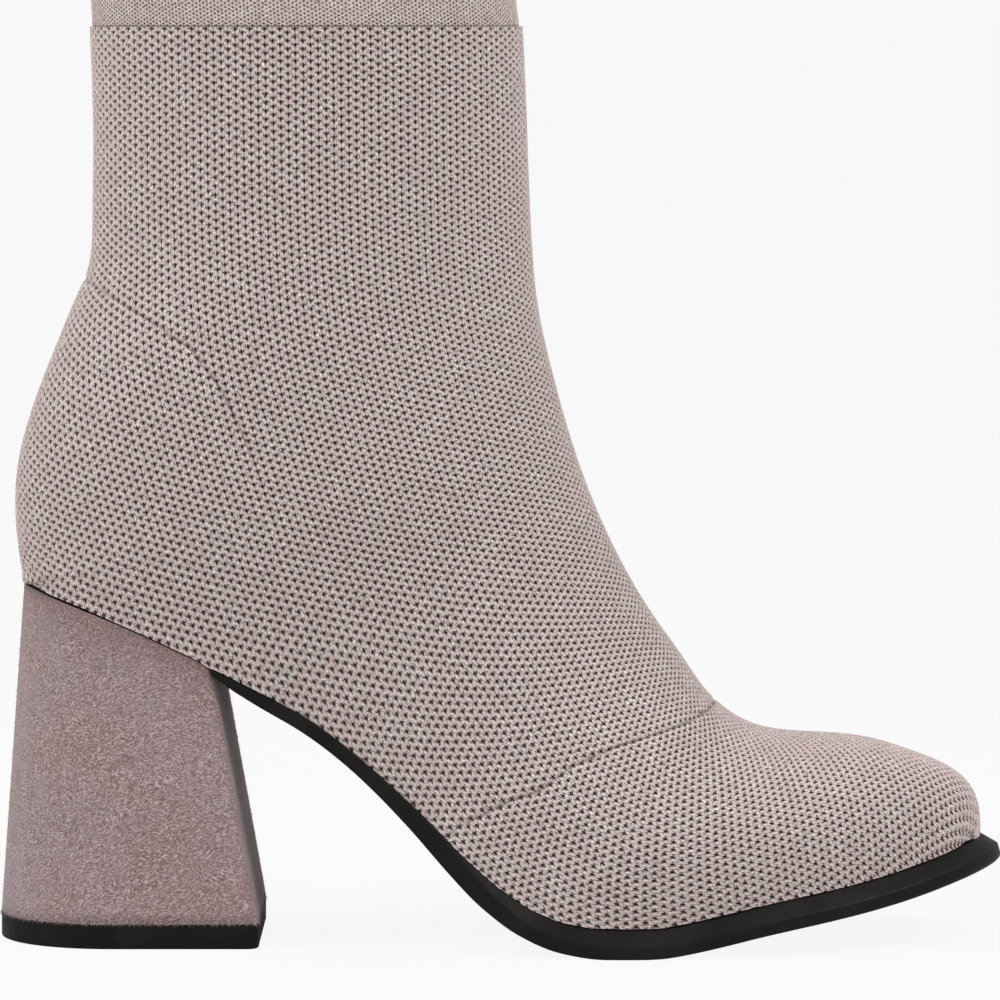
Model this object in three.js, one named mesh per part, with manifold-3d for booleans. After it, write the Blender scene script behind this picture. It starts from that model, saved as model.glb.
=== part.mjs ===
// A knitted ankle boot on a flared block heel, for the right foot, standing empty on the floor.
// X runs from heel to toe, Y to the inner side of the foot and Z up, in millimetres.
// The origin is on the floor, at the middle of the heel's top piece.
import * as THREE from "three";
import { mergeVertices } from "three/addons/utils/BufferGeometryUtils.js";
import Module from "manifold-3d";

const wasm = await Module();
wasm.setup();

// Driving sizes
const LAST_LENGTH = 231.2; // back of the seat to the tip of the toe
const BALL_WIDTH = 81.5; // upper at the ball, where it meets the sole
const TOE_INSET = 5; // how far the toe's tip swings to the inner side
const HEEL_HEIGHT = 86.3; // floor to the back of the seat
const BOOT_HEIGHT = 233.8; // floor to the collar
const TOE_BOX_HEIGHT = 40; // sole to the top of the vamp, behind the toe
const TOE_SPRING = 17.2; // lift of the toe's tip over the ball
const SHAFT_WIDTH = 66; // across the shaft at the collar
const KNIT_WALL = 2.2;
const STIFFENER_STEP = 0.7; // how far toe puff and counter raise the knit
const CUFF_HEIGHT = 14.5;
const CUFF_STEP = 0.6; // the finer knit of the cuff is thinner by this
const SOLE_THICKNESS = 7.1; // under the ball
const LEDGE_WIDTH = 4.2; // sole standing out past the upper, round the forefoot
const LEDGE_DROP = 3.7; // fall of the ledge's sloping top
const FEATHER_SHARE = 0.2; // of the ledge, at which the sole first stands out past the upper
const EDGE_TUCK = 0.5; // the foot of the sole's edge leans in by this
const INSOLE_THICKNESS = 3;
const HEEL_RAKE = 6.7; // the heel's foot stands out behind the seat by this
const HEEL_FOOT_LENGTH = 63.5;
const HEEL_FOOT_WIDTH = 56;
const HEEL_CORNER = 2.5; // round of the heel's two front edges
const TOP_PIECE_THICKNESS = 6;
const GAP = 0.3; // between pieces that are glued together

// Derived sizes
const LEG_HEIGHT = BOOT_HEIGHT - HEEL_HEIGHT;
const SEAT_BACK = HEEL_RAKE - HEEL_FOOT_LENGTH / 2;
const BREAST_AT = 0.199; // share of the last at which the heel's breast meets the sole
const WALL_DEPTH = 8; // spare wall below the sole line, which is cut away
const REACH = 400; // larger than the boot, for the blocks that cut it

const clamp01 = (v) => Math.min(1, Math.max(0, v));
const mix = (a, b, t) => a + (b - a) * t;
const ease = (from, to, v) => {
  const t = clamp01((v - from) / (to - from));
  return t * t * (3 - 2 * t);
};
const alongX = (share) => SEAT_BACK + share * LAST_LENGTH;
const shareOf = (x) => (x - SEAT_BACK) / LAST_LENGTH;
const tipSwing = (x) => TOE_INSET * clamp01((shareOf(x) - 0.5) / 0.5) ** 2;

// Smooth curve through the rows of a table, in one of its columns, with no overshoot
function curveThrough(rows, key, column) {
  const xs = rows.map((row) => row[key]);
  const ys = rows.map((row) => row[column]);
  const slopes = xs.slice(1).map((x, i) => (ys[i + 1] - ys[i]) / (x - xs[i]));
  const tangents = xs.map((_, i) => {
    const before = slopes[Math.max(0, i - 1)];
    const after = slopes[Math.min(slopes.length - 1, i)];
    if (before * after <= 0) return 0;
    const limit = 3 * Math.min(Math.abs(before), Math.abs(after));
    return Math.sign(before) * Math.min(Math.abs(before + after) / 2, limit);
  });
  return (x) => {
    let i = 0;
    while (i < xs.length - 2 && x > xs[i + 1]) i++;
    const step = xs[i + 1] - xs[i];
    const t = clamp01((x - xs[i]) / step);
    const past = x - (xs[i] + t * step);
    const end = t < 1 ? tangents[i] : tangents[i + 1];
    const rise = ys[i + 1] - ys[i];
    const cubic =
      ys[i] +
      rise * (3 - 2 * t) * t * t +
      step * t * (1 - t) * (tangents[i] * (1 - t) - tangents[i + 1] * t);
    return cubic + past * end;
  };
}

// The sole line, seen from the side. heel is a share of the seat's rise over the ball,
// spring a share of the toe's, and at a share of the last's length from the seat's back.
const SOLE_LINE = [
  { at: 0, heel: 1, spring: 0 },
  { at: 0.06, heel: 0.947, spring: 0 },
  { at: 0.12, heel: 0.876, spring: 0 },
  { at: 0.18, heel: 0.795, spring: 0 },
  { at: 0.24, heel: 0.705, spring: 0 },
  { at: 0.3, heel: 0.611, spring: 0 },
  { at: 0.36, heel: 0.477, spring: 0 },
  { at: 0.42, heel: 0.319, spring: 0 },
  { at: 0.47, heel: 0.18, spring: 0 },
  { at: 0.51, heel: 0.085, spring: 0 },
  { at: 0.55, heel: 0.026, spring: 0 },
  { at: 0.585, heel: 0.002, spring: 0 },
  { at: 0.6, heel: 0, spring: 0 },
  { at: 0.655, heel: 0, spring: 0 },
  { at: 0.7, heel: 0, spring: 0.1 },
  { at: 0.76, heel: 0, spring: 0.275 },
  { at: 0.82, heel: 0, spring: 0.42 },
  { at: 0.88, heel: 0, spring: 0.57 },
  { at: 0.94, heel: 0, spring: 0.765 },
  { at: 1, heel: 0, spring: 1 },
];
const heelShare = curveThrough(SOLE_LINE, "at", "heel");
const springShare = curveThrough(SOLE_LINE, "at", "spring");
function soleZ(x) {
  const at = shareOf(x);
  const rise = heelShare(at) * (HEEL_HEIGHT - SOLE_THICKNESS);
  return SOLE_THICKNESS + rise + springShare(at) * TOE_SPRING;
}
// A point at some depth under the sole line, measured square to it
const SLOPE_STEP = 0.5;
function underSole(x, depth) {
  const slope = (soleZ(x + SLOPE_STEP) - soleZ(x - SLOPE_STEP)) / (2 * SLOPE_STEP);
  const length = Math.hypot(1, slope);
  return [x + (slope / length) * depth, soleZ(x) - depth / length];
}

// Half widths of the upper at the sole line, to each side of the last's swung axis, as
// shares of the ball's width. turn is the angle round the outline, as a share of its half.
const OUTLINE = [
  { at: 0.0, outer: 0, inner: 0 },
  { at: 0.026, outer: 0.214, inner: 0.214 },
  { at: 0.06, outer: 0.298, inner: 0.298 },
  { at: 0.112, outer: 0.33, inner: 0.33 },
  { at: 0.197, outer: 0.338, inner: 0.323 },
  { at: 0.296, outer: 0.33, inner: 0.282 },
  { at: 0.403, outer: 0.367, inner: 0.298 },
  { at: 0.511, outer: 0.462, inner: 0.38 },
  { at: 0.618, outer: 0.525, inner: 0.46 },
  { at: 0.704, outer: 0.515, inner: 0.475 },
  { at: 0.79, outer: 0.464, inner: 0.444 },
  { at: 0.875, outer: 0.375, inner: 0.363 },
  { at: 0.94, outer: 0.267, inner: 0.258 },
  { at: 0.983, outer: 0.15, inner: 0.148 },
  { at: 1.0, outer: 0, inner: 0 },
].map((row) => ({ ...row, turn: Math.acos(1 - 2 * row.at) / Math.PI }));
const outlineCurve = {
  outer: curveThrough(OUTLINE, "turn", "outer"),
  inner: curveThrough(OUTLINE, "turn", "inner"),
};
function halfWidth(x, side) {
  const turn = Math.acos(1 - 2 * clamp01(shareOf(x))) / Math.PI;
  return BALL_WIDTH * outlineCurve[side](turn);
}

// Sections of the upper, from the toe's tip over the vamp and round the heel. Each is cut by
// a plane that leans from base, its lower end on the sole line, to a tip on the front line.
// base and tip are shares of the last's length, and box and leg are shares of toe box height
// and leg height, from the base up to the tip. mid is the share of the way at which it is
// widest, and half that width is own times the sole's there plus side times the shaft's.
// crown and round say how full its two ends are: 2 is an ellipse, and more is fuller.
const FOOT_SECTIONS = [
  { base: 1.0, tip: 1.0, box: 0.04, own: 1.03, mid: 0.3, crown: 2.2 },
  { base: 0.9935, tip: 0.995, box: 0.24, own: 1.03, mid: 0.3, crown: 2.25 },
  { base: 0.981, tip: 0.982, box: 0.365, own: 1.035, mid: 0.3, crown: 2.3 },
  { base: 0.961, tip: 0.962, box: 0.47, own: 1.04, mid: 0.3, crown: 2.3 },
  { base: 0.927, tip: 0.928, box: 0.6, own: 1.04, mid: 0.29, crown: 2.3 },
  { base: 0.876, tip: 0.88, box: 0.755, own: 1.04, mid: 0.28, crown: 2.25 },
  { base: 0.815, tip: 0.824, box: 0.848, own: 1.04, mid: 0.27, crown: 2.15 },
  { base: 0.747, tip: 0.77, box: 0.958, own: 1.035, mid: 0.26, crown: 2.05 },
  { base: 0.682, tip: 0.7245, box: 1.0, leg: 0.052, own: 1.03, mid: 0.25, crown: 1.92 },
  { base: 0.609, tip: 0.6885, box: 1.0, leg: 0.139, own: 1.0, side: 0.02, mid: 0.25, crown: 1.82 },
  { base: 0.541, tip: 0.649, box: 1.0, leg: 0.207, own: 0.8, side: 0.135, mid: 0.27, crown: 1.8 },
  { base: 0.468, tip: 0.6125, box: 0.9, leg: 0.258, own: 0.55, side: 0.27, mid: 0.31, crown: 1.84 },
  { base: 0.395, tip: 0.583, box: 0.8, leg: 0.286, own: 0.35, side: 0.365, mid: 0.38, crown: 1.92 },
  { base: 0.318, tip: 0.5625, box: 0.6, leg: 0.339, own: 0.2, side: 0.42, mid: 0.44, crown: 1.98 },
  { base: 0.232, tip: 0.5465, box: 0.4, leg: 0.412, own: 0.1, side: 0.452, mid: 0.49, crown: 2.03, round: 2.2 },
  { base: 0.137, tip: 0.5365, box: 0.25, leg: 0.45, own: 0.05, side: 0.468, mid: 0.52, crown: 2.07, round: 2.5 },
  { base: 0.0515, tip: 0.5315, box: 0.1, leg: 0.495, own: 0, side: 0.486, mid: 0.54, crown: 2.1, round: 2.8 },
  { base: 0.0, tip: 0.5295, box: 0, leg: 0.546, own: 0, side: 0.487, mid: 0.54, crown: 2.1, round: 3 },
];
// Sections of the leg, whose lower end runs up the back line instead: backX is a share of the
// last's length, and back and front are shares of the leg's height over the seat.
const LEG_SECTIONS = [
  { backX: -0.0078, back: 0.085, tip: 0.5275, front: 0.587, side: 0.487, mid: 0.54, crown: 2.1, round: 3 },
  { backX: -0.007, back: 0.186, tip: 0.5266, front: 0.631, side: 0.486, mid: 0.54, crown: 2.1, round: 2.8 },
  { backX: 0.011, back: 0.2915, tip: 0.5253, front: 0.675, side: 0.484, mid: 0.53, crown: 2.1, round: 2.55 },
  { backX: 0.0355, back: 0.39, tip: 0.5243, front: 0.715, side: 0.482, mid: 0.52, crown: 2.1, round: 2.35 },
  { backX: 0.0575, back: 0.4745, tip: 0.5238, front: 0.7525, side: 0.481, mid: 0.51, crown: 2.1, round: 2.2 },
  { backX: 0.0683, back: 0.529, tip: 0.5228, front: 0.783, side: 0.482, mid: 0.5, crown: 2.1, round: 2.15 },
  { backX: 0.0707, back: 0.627, tip: 0.5215, front: 0.837, side: 0.488, mid: 0.5, crown: 2.1, round: 2.1 },
  { backX: 0.0717, back: 0.749, tip: 0.5195, front: 0.8915, side: 0.494, mid: 0.5, crown: 2.12, round: 2.1 },
  { backX: 0.0695, back: 0.871, tip: 0.5165, front: 0.939, side: 0.498, mid: 0.5, crown: 2.14, round: 2.12 },
  { backX: 0.0665, back: 0.966, tip: 0.513, front: 0.986, side: 0.5, mid: 0.5, crown: 2.15, round: 2.15 },
  { backX: 0.065, back: 1.061, tip: 0.511, front: 1.061, side: 0.5, mid: 0.5, crown: 2.15, round: 2.15 },
];
const SEAT_ROW = FOOT_SECTIONS.length - 1;

// The value of a column at a place between rows, by a cubic through four of them
function between(values, place) {
  const last = values.length - 1;
  const i = Math.min(Math.max(Math.floor(place), 0), last - 1);
  const t = place - i;
  const [p1, p2] = [values[i], values[i + 1]];
  const p0 = i > 0 ? values[i - 1] : 2 * p1 - p2;
  const p3 = i + 2 <= last ? values[i + 2] : 2 * p2 - p1;
  const bend = 2 * p0 - 5 * p1 + 4 * p2 - p3;
  const twist = 3 * p1 - p0 - 3 * p2 + p3;
  return p1 + 0.5 * t * (p2 - p0 + t * (bend + t * twist));
}
const ALL_SECTIONS = [...FOOT_SECTIONS, ...LEG_SECTIONS];
const DEFAULTS = { round: 2 };
const column = (rows, key) => rows.map((row) => row[key] ?? DEFAULTS[key] ?? 0);
const COLUMNS = Object.fromEntries(
  ["tip", "own", "side", "mid", "crown", "round"].map((key) => [
    key,
    column(ALL_SECTIONS, key),
  ]),
);
const BASES = column(FOOT_SECTIONS, "base");
const FRONT_Z = ALL_SECTIONS.map((row) => {
  if (row.base === undefined) return HEEL_HEIGHT + row.front * LEG_HEIGHT;
  return soleZ(alongX(row.base)) + row.box * TOE_BOX_HEIGHT + (row.leg ?? 0) * LEG_HEIGHT;
});
const BACK_X = [alongX(0), ...LEG_SECTIONS.map((row) => alongX(row.backX))];
const BACK_Z = [soleZ(alongX(0)), ...LEG_SECTIONS.map((row) => HEEL_HEIGHT + row.back * LEG_HEIGHT)];

// One section at a place between the rows: its two ends and its shape
function sectionAt(place) {
  const onSole = place <= SEAT_ROW;
  const baseShare = clamp01(between(BASES, place));
  const lowX = onSole ? alongX(baseShare) : between(BACK_X, place - SEAT_ROW);
  const lowZ = onSole ? soleZ(lowX) : between(BACK_Z, place - SEAT_ROW);
  const shape = Object.fromEntries(
    Object.entries(COLUMNS).map(([key, values]) => [key, between(values, place)]),
  );
  return { ...shape, onSole, lowX, lowZ, highX: alongX(shape.tip), highZ: between(FRONT_Z, place) };
}

// Points of one side of a section, from under the sole line up to the front line
function sidePoints(section, side, lowSteps, highSteps) {
  const { onSole, lowX, lowZ, highX, highZ, own, mid, crown, round } = section;
  const sole = onSole ? halfWidth(lowX, side) : 0;
  const wide = Math.max(own * sole + section.side * SHAFT_WIDTH, sole);
  const share = wide > 0 ? (sole / wide) ** 2 : 1;
  const points = [];
  const put = (q, y) => points.push([mix(lowX, highX, q), y, mix(lowZ, highZ, q)]);
  const deep = sole > 0 ? WALL_DEPTH : 0;
  points.push([lowX, 0, lowZ - deep], [lowX, sole, lowZ - deep]);
  for (let i = 0; i < lowSteps; i++) {
    const angle = (Math.PI / 2) * (1 - i / lowSteps);
    const q = mid * (1 - Math.sin(angle) ** (2 / round));
    put(q, wide * Math.sqrt(1 - (1 - share) * Math.sin(angle) ** 2));
  }
  for (let i = 0; i < highSteps; i++) {
    const angle = (Math.PI / 2) * (i / highSteps);
    const q = mid + (1 - mid) * Math.sin(angle) ** (2 / crown);
    put(q, wide * Math.cos(angle) ** (2 / crown));
  }
  return points;
}

// A closed mesh from points and faces, with shared points merged and turned to face out
const WELD = 1e-3;
function closedGeometry(points, faces) {
  const raw = new THREE.BufferGeometry();
  raw.setAttribute("position", new THREE.Float32BufferAttribute(points.flat(), 3));
  raw.setIndex(faces.flat());
  const merged = mergeVertices(raw, WELD);
  const index = merged.index.array;
  const kept = [];
  for (let i = 0; i < index.length; i += 3) {
    const [a, b, c] = index.subarray(i, i + 3);
    if (a !== b && b !== c && c !== a) kept.push(a, b, c);
  }
  merged.setIndex(kept);
  if (volumeOf(merged) < 0) merged.setIndex(kept.reverse());
  return merged;
}
function volumeOf(geometry) {
  const at = geometry.attributes.position;
  const index = geometry.index.array;
  const [a, b, c] = [new THREE.Vector3(), new THREE.Vector3(), new THREE.Vector3()];
  let sum = 0;
  for (let i = 0; i < index.length; i += 3) {
    a.fromBufferAttribute(at, index[i]);
    b.fromBufferAttribute(at, index[i + 1]);
    c.fromBufferAttribute(at, index[i + 2]);
    sum += a.dot(b.cross(c)) / 6;
  }
  return sum;
}
function solidOf(geometry) {
  const bare = new THREE.BufferGeometry();
  bare.setAttribute("position", geometry.attributes.position);
  if (geometry.index) bare.setIndex(geometry.index);
  const merged = mergeVertices(bare, WELD / 10);
  return new wasm.Manifold(
    new wasm.Mesh({
      numProp: 3,
      vertProperties: merged.attributes.position.array,
      triVerts: new Uint32Array(merged.index.array),
    }),
  );
}
function geometryOf(solid) {
  const mesh = solid.getMesh();
  const geometry = new THREE.BufferGeometry();
  geometry.setAttribute("position", new THREE.BufferAttribute(mesh.vertProperties, 3));
  geometry.setIndex(new THREE.BufferAttribute(mesh.triVerts, 1));
  return geometry;
}

// The whole form inside or outside the upper, from toe to above the collar, closed all round.
// grow moves its surface outwards along its normals.
function lastBody(grow, ringsPerRow, lowSteps, highSteps) {
  const rings = [];
  const lastPlace = ALL_SECTIONS.length - 1;
  for (let n = 0; n <= lastPlace * ringsPerRow; n++) {
    const section = sectionAt(n / ringsPerRow);
    const outer = sidePoints(section, "outer", lowSteps, highSteps);
    const inner = sidePoints(section, "inner", lowSteps, highSteps);
    const top = [section.highX, 0, section.highZ];
    const ring = [
      ...outer.map(([x, y, z]) => [x, -y, z]),
      top,
      ...inner.slice(1).reverse(),
    ];
    rings.push(ring.map(([x, y, z]) => [x, y + tipSwing(x), z]));
  }
  const size = rings[0].length;
  const points = rings.flat();
  const faces = [];
  for (let r = 0; r < rings.length - 1; r++) {
    for (let c = 0; c < size; c++) {
      const [a, b] = [r * size + c, r * size + ((c + 1) % size)];
      faces.push([a, b, b + size], [a, b + size, a + size]);
    }
  }
  const lastRing = (rings.length - 1) * size;
  for (let c = 1; c < size - 1; c++) faces.push([lastRing, lastRing + c, lastRing + c + 1]);
  const geometry = closedGeometry(points, faces);
  if (grow === 0) return solidOf(geometry);
  geometry.computeVertexNormals();
  const { position, normal } = geometry.attributes;
  const [point, out] = [new THREE.Vector3(), new THREE.Vector3()];
  for (let i = 0; i < position.count; i++) {
    out.fromBufferAttribute(normal, i);
    point.fromBufferAttribute(position, i).addScaledVector(out, grow);
    position.setXYZ(i, point.x, point.y, point.z);
  }
  return solidOf(geometry);
}

// A block as wide as the boot, from its outline seen from the side
function sideBlock(outline) {
  const shape = new THREE.Shape(outline.map(([x, z]) => new THREE.Vector2(x, z)));
  const geometry = new THREE.ExtrudeGeometry(shape, { depth: REACH, bevelEnabled: false });
  geometry.rotateX(Math.PI / 2);
  geometry.translate(0, REACH / 2, 0);
  return solidOf(geometry);
}
const SOLE_STEPS = 60;
const OVERRUN = 0.1; // share of the last by which the cutting blocks run past its ends
function soleLine(lift) {
  const [from, to] = [alongX(-OVERRUN), alongX(1 + OVERRUN)];
  return Array.from({ length: SOLE_STEPS + 1 }, (_, i) => {
    return underSole(mix(from, to, i / SOLE_STEPS), -lift);
  });
}
const overSole = (lift, topZ) => {
  const line = soleLine(lift);
  return sideBlock([...line, [line.at(-1)[0], topZ], [line[0][0], topZ]]);
};

// Edges of the stiffeners under the knit, seen from the side. along is a share of the last's
// length; leg is a share of the leg's height over the seat, box one of the toe box over the floor.
const COUNTER_EDGE = [
  { along: 0.066, leg: 0.497 },
  { along: 0.12, leg: 0.446 },
  { along: 0.172, leg: 0.379 },
  { along: 0.222, leg: 0.258 },
  { along: 0.256, leg: 0.142 },
  { along: 0.27, leg: -0.02 },
  { along: 0.268, leg: -0.19 },
  { along: 0.268, leg: -0.4 },
];
const PUFF_EDGE = [
  { along: 0.75, box: 2.2 },
  { along: 0.727, box: 1.45 },
  { along: 0.685, box: 1.4 },
  { along: 0.614, box: 1.26 },
  { along: 0.5386, box: 1.01 },
  { along: 0.4622, box: 0.81 },
  { along: 0.43, box: 0.7 },
  { along: 0.4, box: 0.3 },
];
function counterZone() {
  const edge = COUNTER_EDGE.map(({ along, leg }) => [alongX(along), HEEL_HEIGHT + leg * LEG_HEIGHT]);
  const [top, foot] = [edge[0][1], edge.at(-1)[1]];
  const behind = alongX(-OVERRUN);
  return sideBlock([[behind, foot], ...edge.reverse(), [behind, top]]);
}
function puffZone() {
  const edge = PUFF_EDGE.map(({ along, box }) => [alongX(along), box * TOE_BOX_HEIGHT]);
  const [top, foot] = [edge[0][1], edge.at(-1)[1]];
  const ahead = alongX(1 + OVERRUN);
  return sideBlock([...edge, [edge.at(-1)[0], -foot], [ahead, -foot], [ahead, top]]);
}

// The knitted upper: one sock-like wall, raised over counter and toe puff, thinner at the cuff
const [RINGS, LOW_STEPS, HIGH_STEPS] = [2, 9, 11];
const [INNER_RINGS, INNER_LOW, INNER_HIGH] = [1, 6, 8];
function makeUpper() {
  const skin = lastBody(0, RINGS, LOW_STEPS, HIGH_STEPS);
  const raised = lastBody(STIFFENER_STEP, RINGS, LOW_STEPS, HIGH_STEPS);
  const cuffSkin = lastBody(-CUFF_STEP, RINGS, LOW_STEPS, HIGH_STEPS);
  const cuffLine = BOOT_HEIGHT - CUFF_HEIGHT;
  const overCuffLine = sideBlock([
    [-REACH, cuffLine],
    [REACH, cuffLine],
    [REACH, REACH],
    [-REACH, REACH],
  ]);
  const outside = skin
    .subtract(overCuffLine)
    .add(raised.intersect(counterZone()))
    .add(raised.intersect(puffZone()))
    .add(cuffSkin);
  const inside = lastBody(-KNIT_WALL, INNER_RINGS, INNER_LOW, INNER_HIGH);
  return outside.subtract(inside).intersect(overSole(0, BOOT_HEIGHT));
}

// The insole fills the upper's floor from inside
function makeInsole() {
  const room = lastBody(-KNIT_WALL - GAP, INNER_RINGS, INNER_LOW, INNER_HIGH);
  const floor = overSole(0, BOOT_HEIGHT).subtract(overSole(INSOLE_THICKNESS, REACH));
  return room.intersect(floor);
}

// Loops stacked on each other, each an open run from the outer side round the end to the
// inner side. Walls join them, and strips from side to side close the first and the last.
function stackedLoops(loops) {
  const size = loops[0].length;
  const points = loops.flat();
  const faces = [];
  const quad = (a, b, c, d) => faces.push([a, b, c], [a, c, d]);
  for (let k = 0; k < loops.length - 1; k++) {
    for (let i = 0; i < size; i++) {
      const next = (i + 1) % size;
      quad(k * size + i, k * size + next, (k + 1) * size + next, (k + 1) * size + i);
    }
  }
  const last = (loops.length - 1) * size;
  for (let i = 0; i < size / 2 - 1; i++) {
    const [a, b, c, d] = [i, i + 1, size - 2 - i, size - 1 - i];
    quad(d, c, b, a);
    quad(last + a, last + b, last + c, last + d);
  }
  return solidOf(closedGeometry(points, faces));
}

// The sole's outline from a share of the last's length to the toe and back, grown outwards
const OUTLINE_STEPS = 34;
const TURN_STEP = 1e-3;
function growOutline(from, growAt) {
  const startTurn = Math.acos(1 - 2 * from) / Math.PI;
  const run = (side) =>
    Array.from({ length: OUTLINE_STEPS + 1 }, (_, i) => {
      const turn = mix(startTurn, 1, i / OUTLINE_STEPS);
      const at = (1 - Math.cos(Math.PI * turn)) / 2;
      const place = (t) => {
        const px = alongX((1 - Math.cos(Math.PI * t)) / 2);
        return [px, BALL_WIDTH * outlineCurve[side](t)];
      };
      const [x, y] = place(turn);
      const [[x0, y0], [x1, y1]] = [place(turn - TURN_STEP), place(Math.min(1, turn + TURN_STEP))];
      const grow = growAt(at) / Math.hypot(x1 - x0, y1 - y0);
      return [x - grow * (y1 - y0), y + grow * (x1 - x0)];
    });
  const outer = run("outer").map(([x, y]) => [x, -y + tipSwing(x)]);
  const inner = run("inner").map(([x, y]) => [x, y + tipSwing(x)]);
  outer[OUTLINE_STEPS][1] = tipSwing(outer[OUTLINE_STEPS][0]);
  inner[OUTLINE_STEPS][1] = outer[OUTLINE_STEPS][1];
  return [...outer, ...inner.reverse()];
}

// The outsole's edge, as shares of the sole's thickness, ledge width and ledge drop: thin and
// nearly flush at the shank, with a sloping ledge round the forefoot
const SOLE_EDGE = [
  { at: 0.15, thick: 0.28, ledge: 0.2, drop: 0.1 },
  { at: 0.2, thick: 0.31, ledge: 0.2, drop: 0.1 },
  { at: 0.235, thick: 0.42, ledge: 0.2, drop: 0.1 },
  { at: 0.27, thick: 0.52, ledge: 0.2, drop: 0.1 },
  { at: 0.35, thick: 0.54, ledge: 0.2, drop: 0.1 },
  { at: 0.4, thick: 0.63, ledge: 0.2, drop: 0.12 },
  { at: 0.45, thick: 0.79, ledge: 0.3, drop: 0.3 },
  { at: 0.5, thick: 0.94, ledge: 0.62, drop: 0.65 },
  { at: 0.56, thick: 1, ledge: 0.95, drop: 0.96 },
  { at: 0.62, thick: 1, ledge: 1, drop: 1 },
  { at: 1, thick: 1, ledge: 1, drop: 1 },
];
const SIDE_SHARE = 0.75; // of the way from the ledge to the sole's underside, where the tuck starts
const edgeCurve = Object.fromEntries(
  ["thick", "ledge", "drop"].map((key) => [key, curveThrough(SOLE_EDGE, "at", key)]),
);
const ledgeAt = (at) => LEDGE_WIDTH * edgeCurve.ledge(at);
const dropAt = (at) => LEDGE_DROP * edgeCurve.drop(at);
const thicknessAt = (at) => SOLE_THICKNESS * edgeCurve.thick(at) - GAP;
function makeOutsole() {
  const start = SOLE_EDGE[0].at;
  const level = (growAt, depthAt) =>
    growOutline(start, growAt).map(([x, y]) => {
      const [px, pz] = underSole(x, GAP + depthAt(shareOf(x)));
      return [px, y, pz];
    });
  const body = stackedLoops([
    level(() => LEDGE_WIDTH * FEATHER_SHARE, () => 0),
    level(ledgeAt, dropAt),
    level(ledgeAt, (at) => mix(dropAt(at), thicknessAt(at), SIDE_SHARE)),
    level((at) => ledgeAt(at) - EDGE_TUCK, thicknessAt),
  ]);
  return body.subtract(behindBreast(GAP));
}

// The heel's breast, seen from the side: a straight rake from the top piece to the sole
const BREAST_FOOT = [HEEL_FOOT_LENGTH / 2, TOP_PIECE_THICKNESS + GAP];
const BREAST_TOP = [alongX(BREAST_AT), soleZ(alongX(BREAST_AT)) - GAP];
function behindBreast(clear) {
  const [[footX, footZ], [topX, topZ]] = [BREAST_FOOT, BREAST_TOP];
  const rake = (topX - footX) / (topZ - footZ);
  const above = topZ + SOLE_THICKNESS;
  return sideBlock([
    [footX - rake * footZ + clear, 0],
    [topX + rake * SOLE_THICKNESS + clear, above],
    [-REACH, above],
    [-REACH, 0],
  ]);
}

// One side of a loop round the heel, from its rounded front edge to the middle of its back
const HEEL_STEPS = 20;
const CORNER_STEPS = 4;
function heelLoop(frontX, sideAt, backX) {
  const cornerX = frontX - HEEL_CORNER;
  const run = (side) => {
    const cornerY = sideAt(cornerX, side);
    const corner = Array.from({ length: CORNER_STEPS }, (_, i) => {
      const angle = (Math.PI / 2) * (i / CORNER_STEPS);
      return [cornerX + HEEL_CORNER * Math.cos(angle), cornerY - HEEL_CORNER * (1 - Math.sin(angle))];
    });
    const flank = Array.from({ length: HEEL_STEPS + 1 }, (_, i) => {
      const x = mix(backX, cornerX, 1 - Math.sin((Math.PI / 2) * (i / HEEL_STEPS)));
      return [x, i === HEEL_STEPS ? 0 : sideAt(x, side)];
    });
    return [...corner, ...flank];
  };
  return [...run("outer").map(([x, y]) => [x, -y]), ...run("inner").reverse()];
}
const footBack = -HEEL_FOOT_LENGTH / 2;
function footHalfWidth(x) {
  const radius = HEEL_FOOT_WIDTH / 2;
  const short = Math.max(0, footBack + radius - x);
  return Math.sqrt(Math.max(0, radius ** 2 - short ** 2));
}
function seatHalfWidth(x, side) {
  const frontX = BREAST_TOP[0];
  const inset = (STIFFENER_STEP * (frontX - x)) / (frontX - alongX(0) + STIFFENER_STEP);
  return halfWidth(x + inset, side) + STIFFENER_STEP;
}
function makeHeel() {
  const foot = heelLoop(BREAST_FOOT[0], footHalfWidth, footBack);
  const seat = heelLoop(BREAST_TOP[0], seatHalfWidth, alongX(0) - STIFFENER_STEP);
  return stackedLoops([
    foot.map(([x, y]) => [x, y, BREAST_FOOT[1]]),
    seat.map(([x, y]) => [x, y, soleZ(x) - GAP]),
  ]);
}
function makeTopPiece() {
  const foot = heelLoop(HEEL_FOOT_LENGTH / 2, footHalfWidth, footBack);
  return stackedLoops([0, TOP_PIECE_THICKNESS].map((z) => foot.map(([x, y]) => [x, y, z])));
}

const finish = (color, roughness) => new THREE.MeshStandardMaterial({ color, roughness, metalness: 0 });
const boot = new THREE.Group();
function place(name, solid, material) {
  const mesh = new THREE.Mesh(geometryOf(solid), material);
  mesh.name = name;
  boot.add(mesh);
}
place("upper", makeUpper(), finish(0xb5a5a0, 0.9));
place("insole", makeInsole(), finish(0xb9aca6, 0.8));
place("outsole", makeOutsole(), finish(0x1b1817, 0.5));
place("heel", makeHeel(), finish(0x9c8888, 0.95));
place("top_piece", makeTopPiece(), finish(0x151313, 0.55));

export default boot;
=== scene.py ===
"""A knit ankle boot on a high block heel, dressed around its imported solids."""

import math

import bmesh
import bpy
import numpy as np
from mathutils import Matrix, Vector
from mathutils.bvhtree import BVHTree


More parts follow.
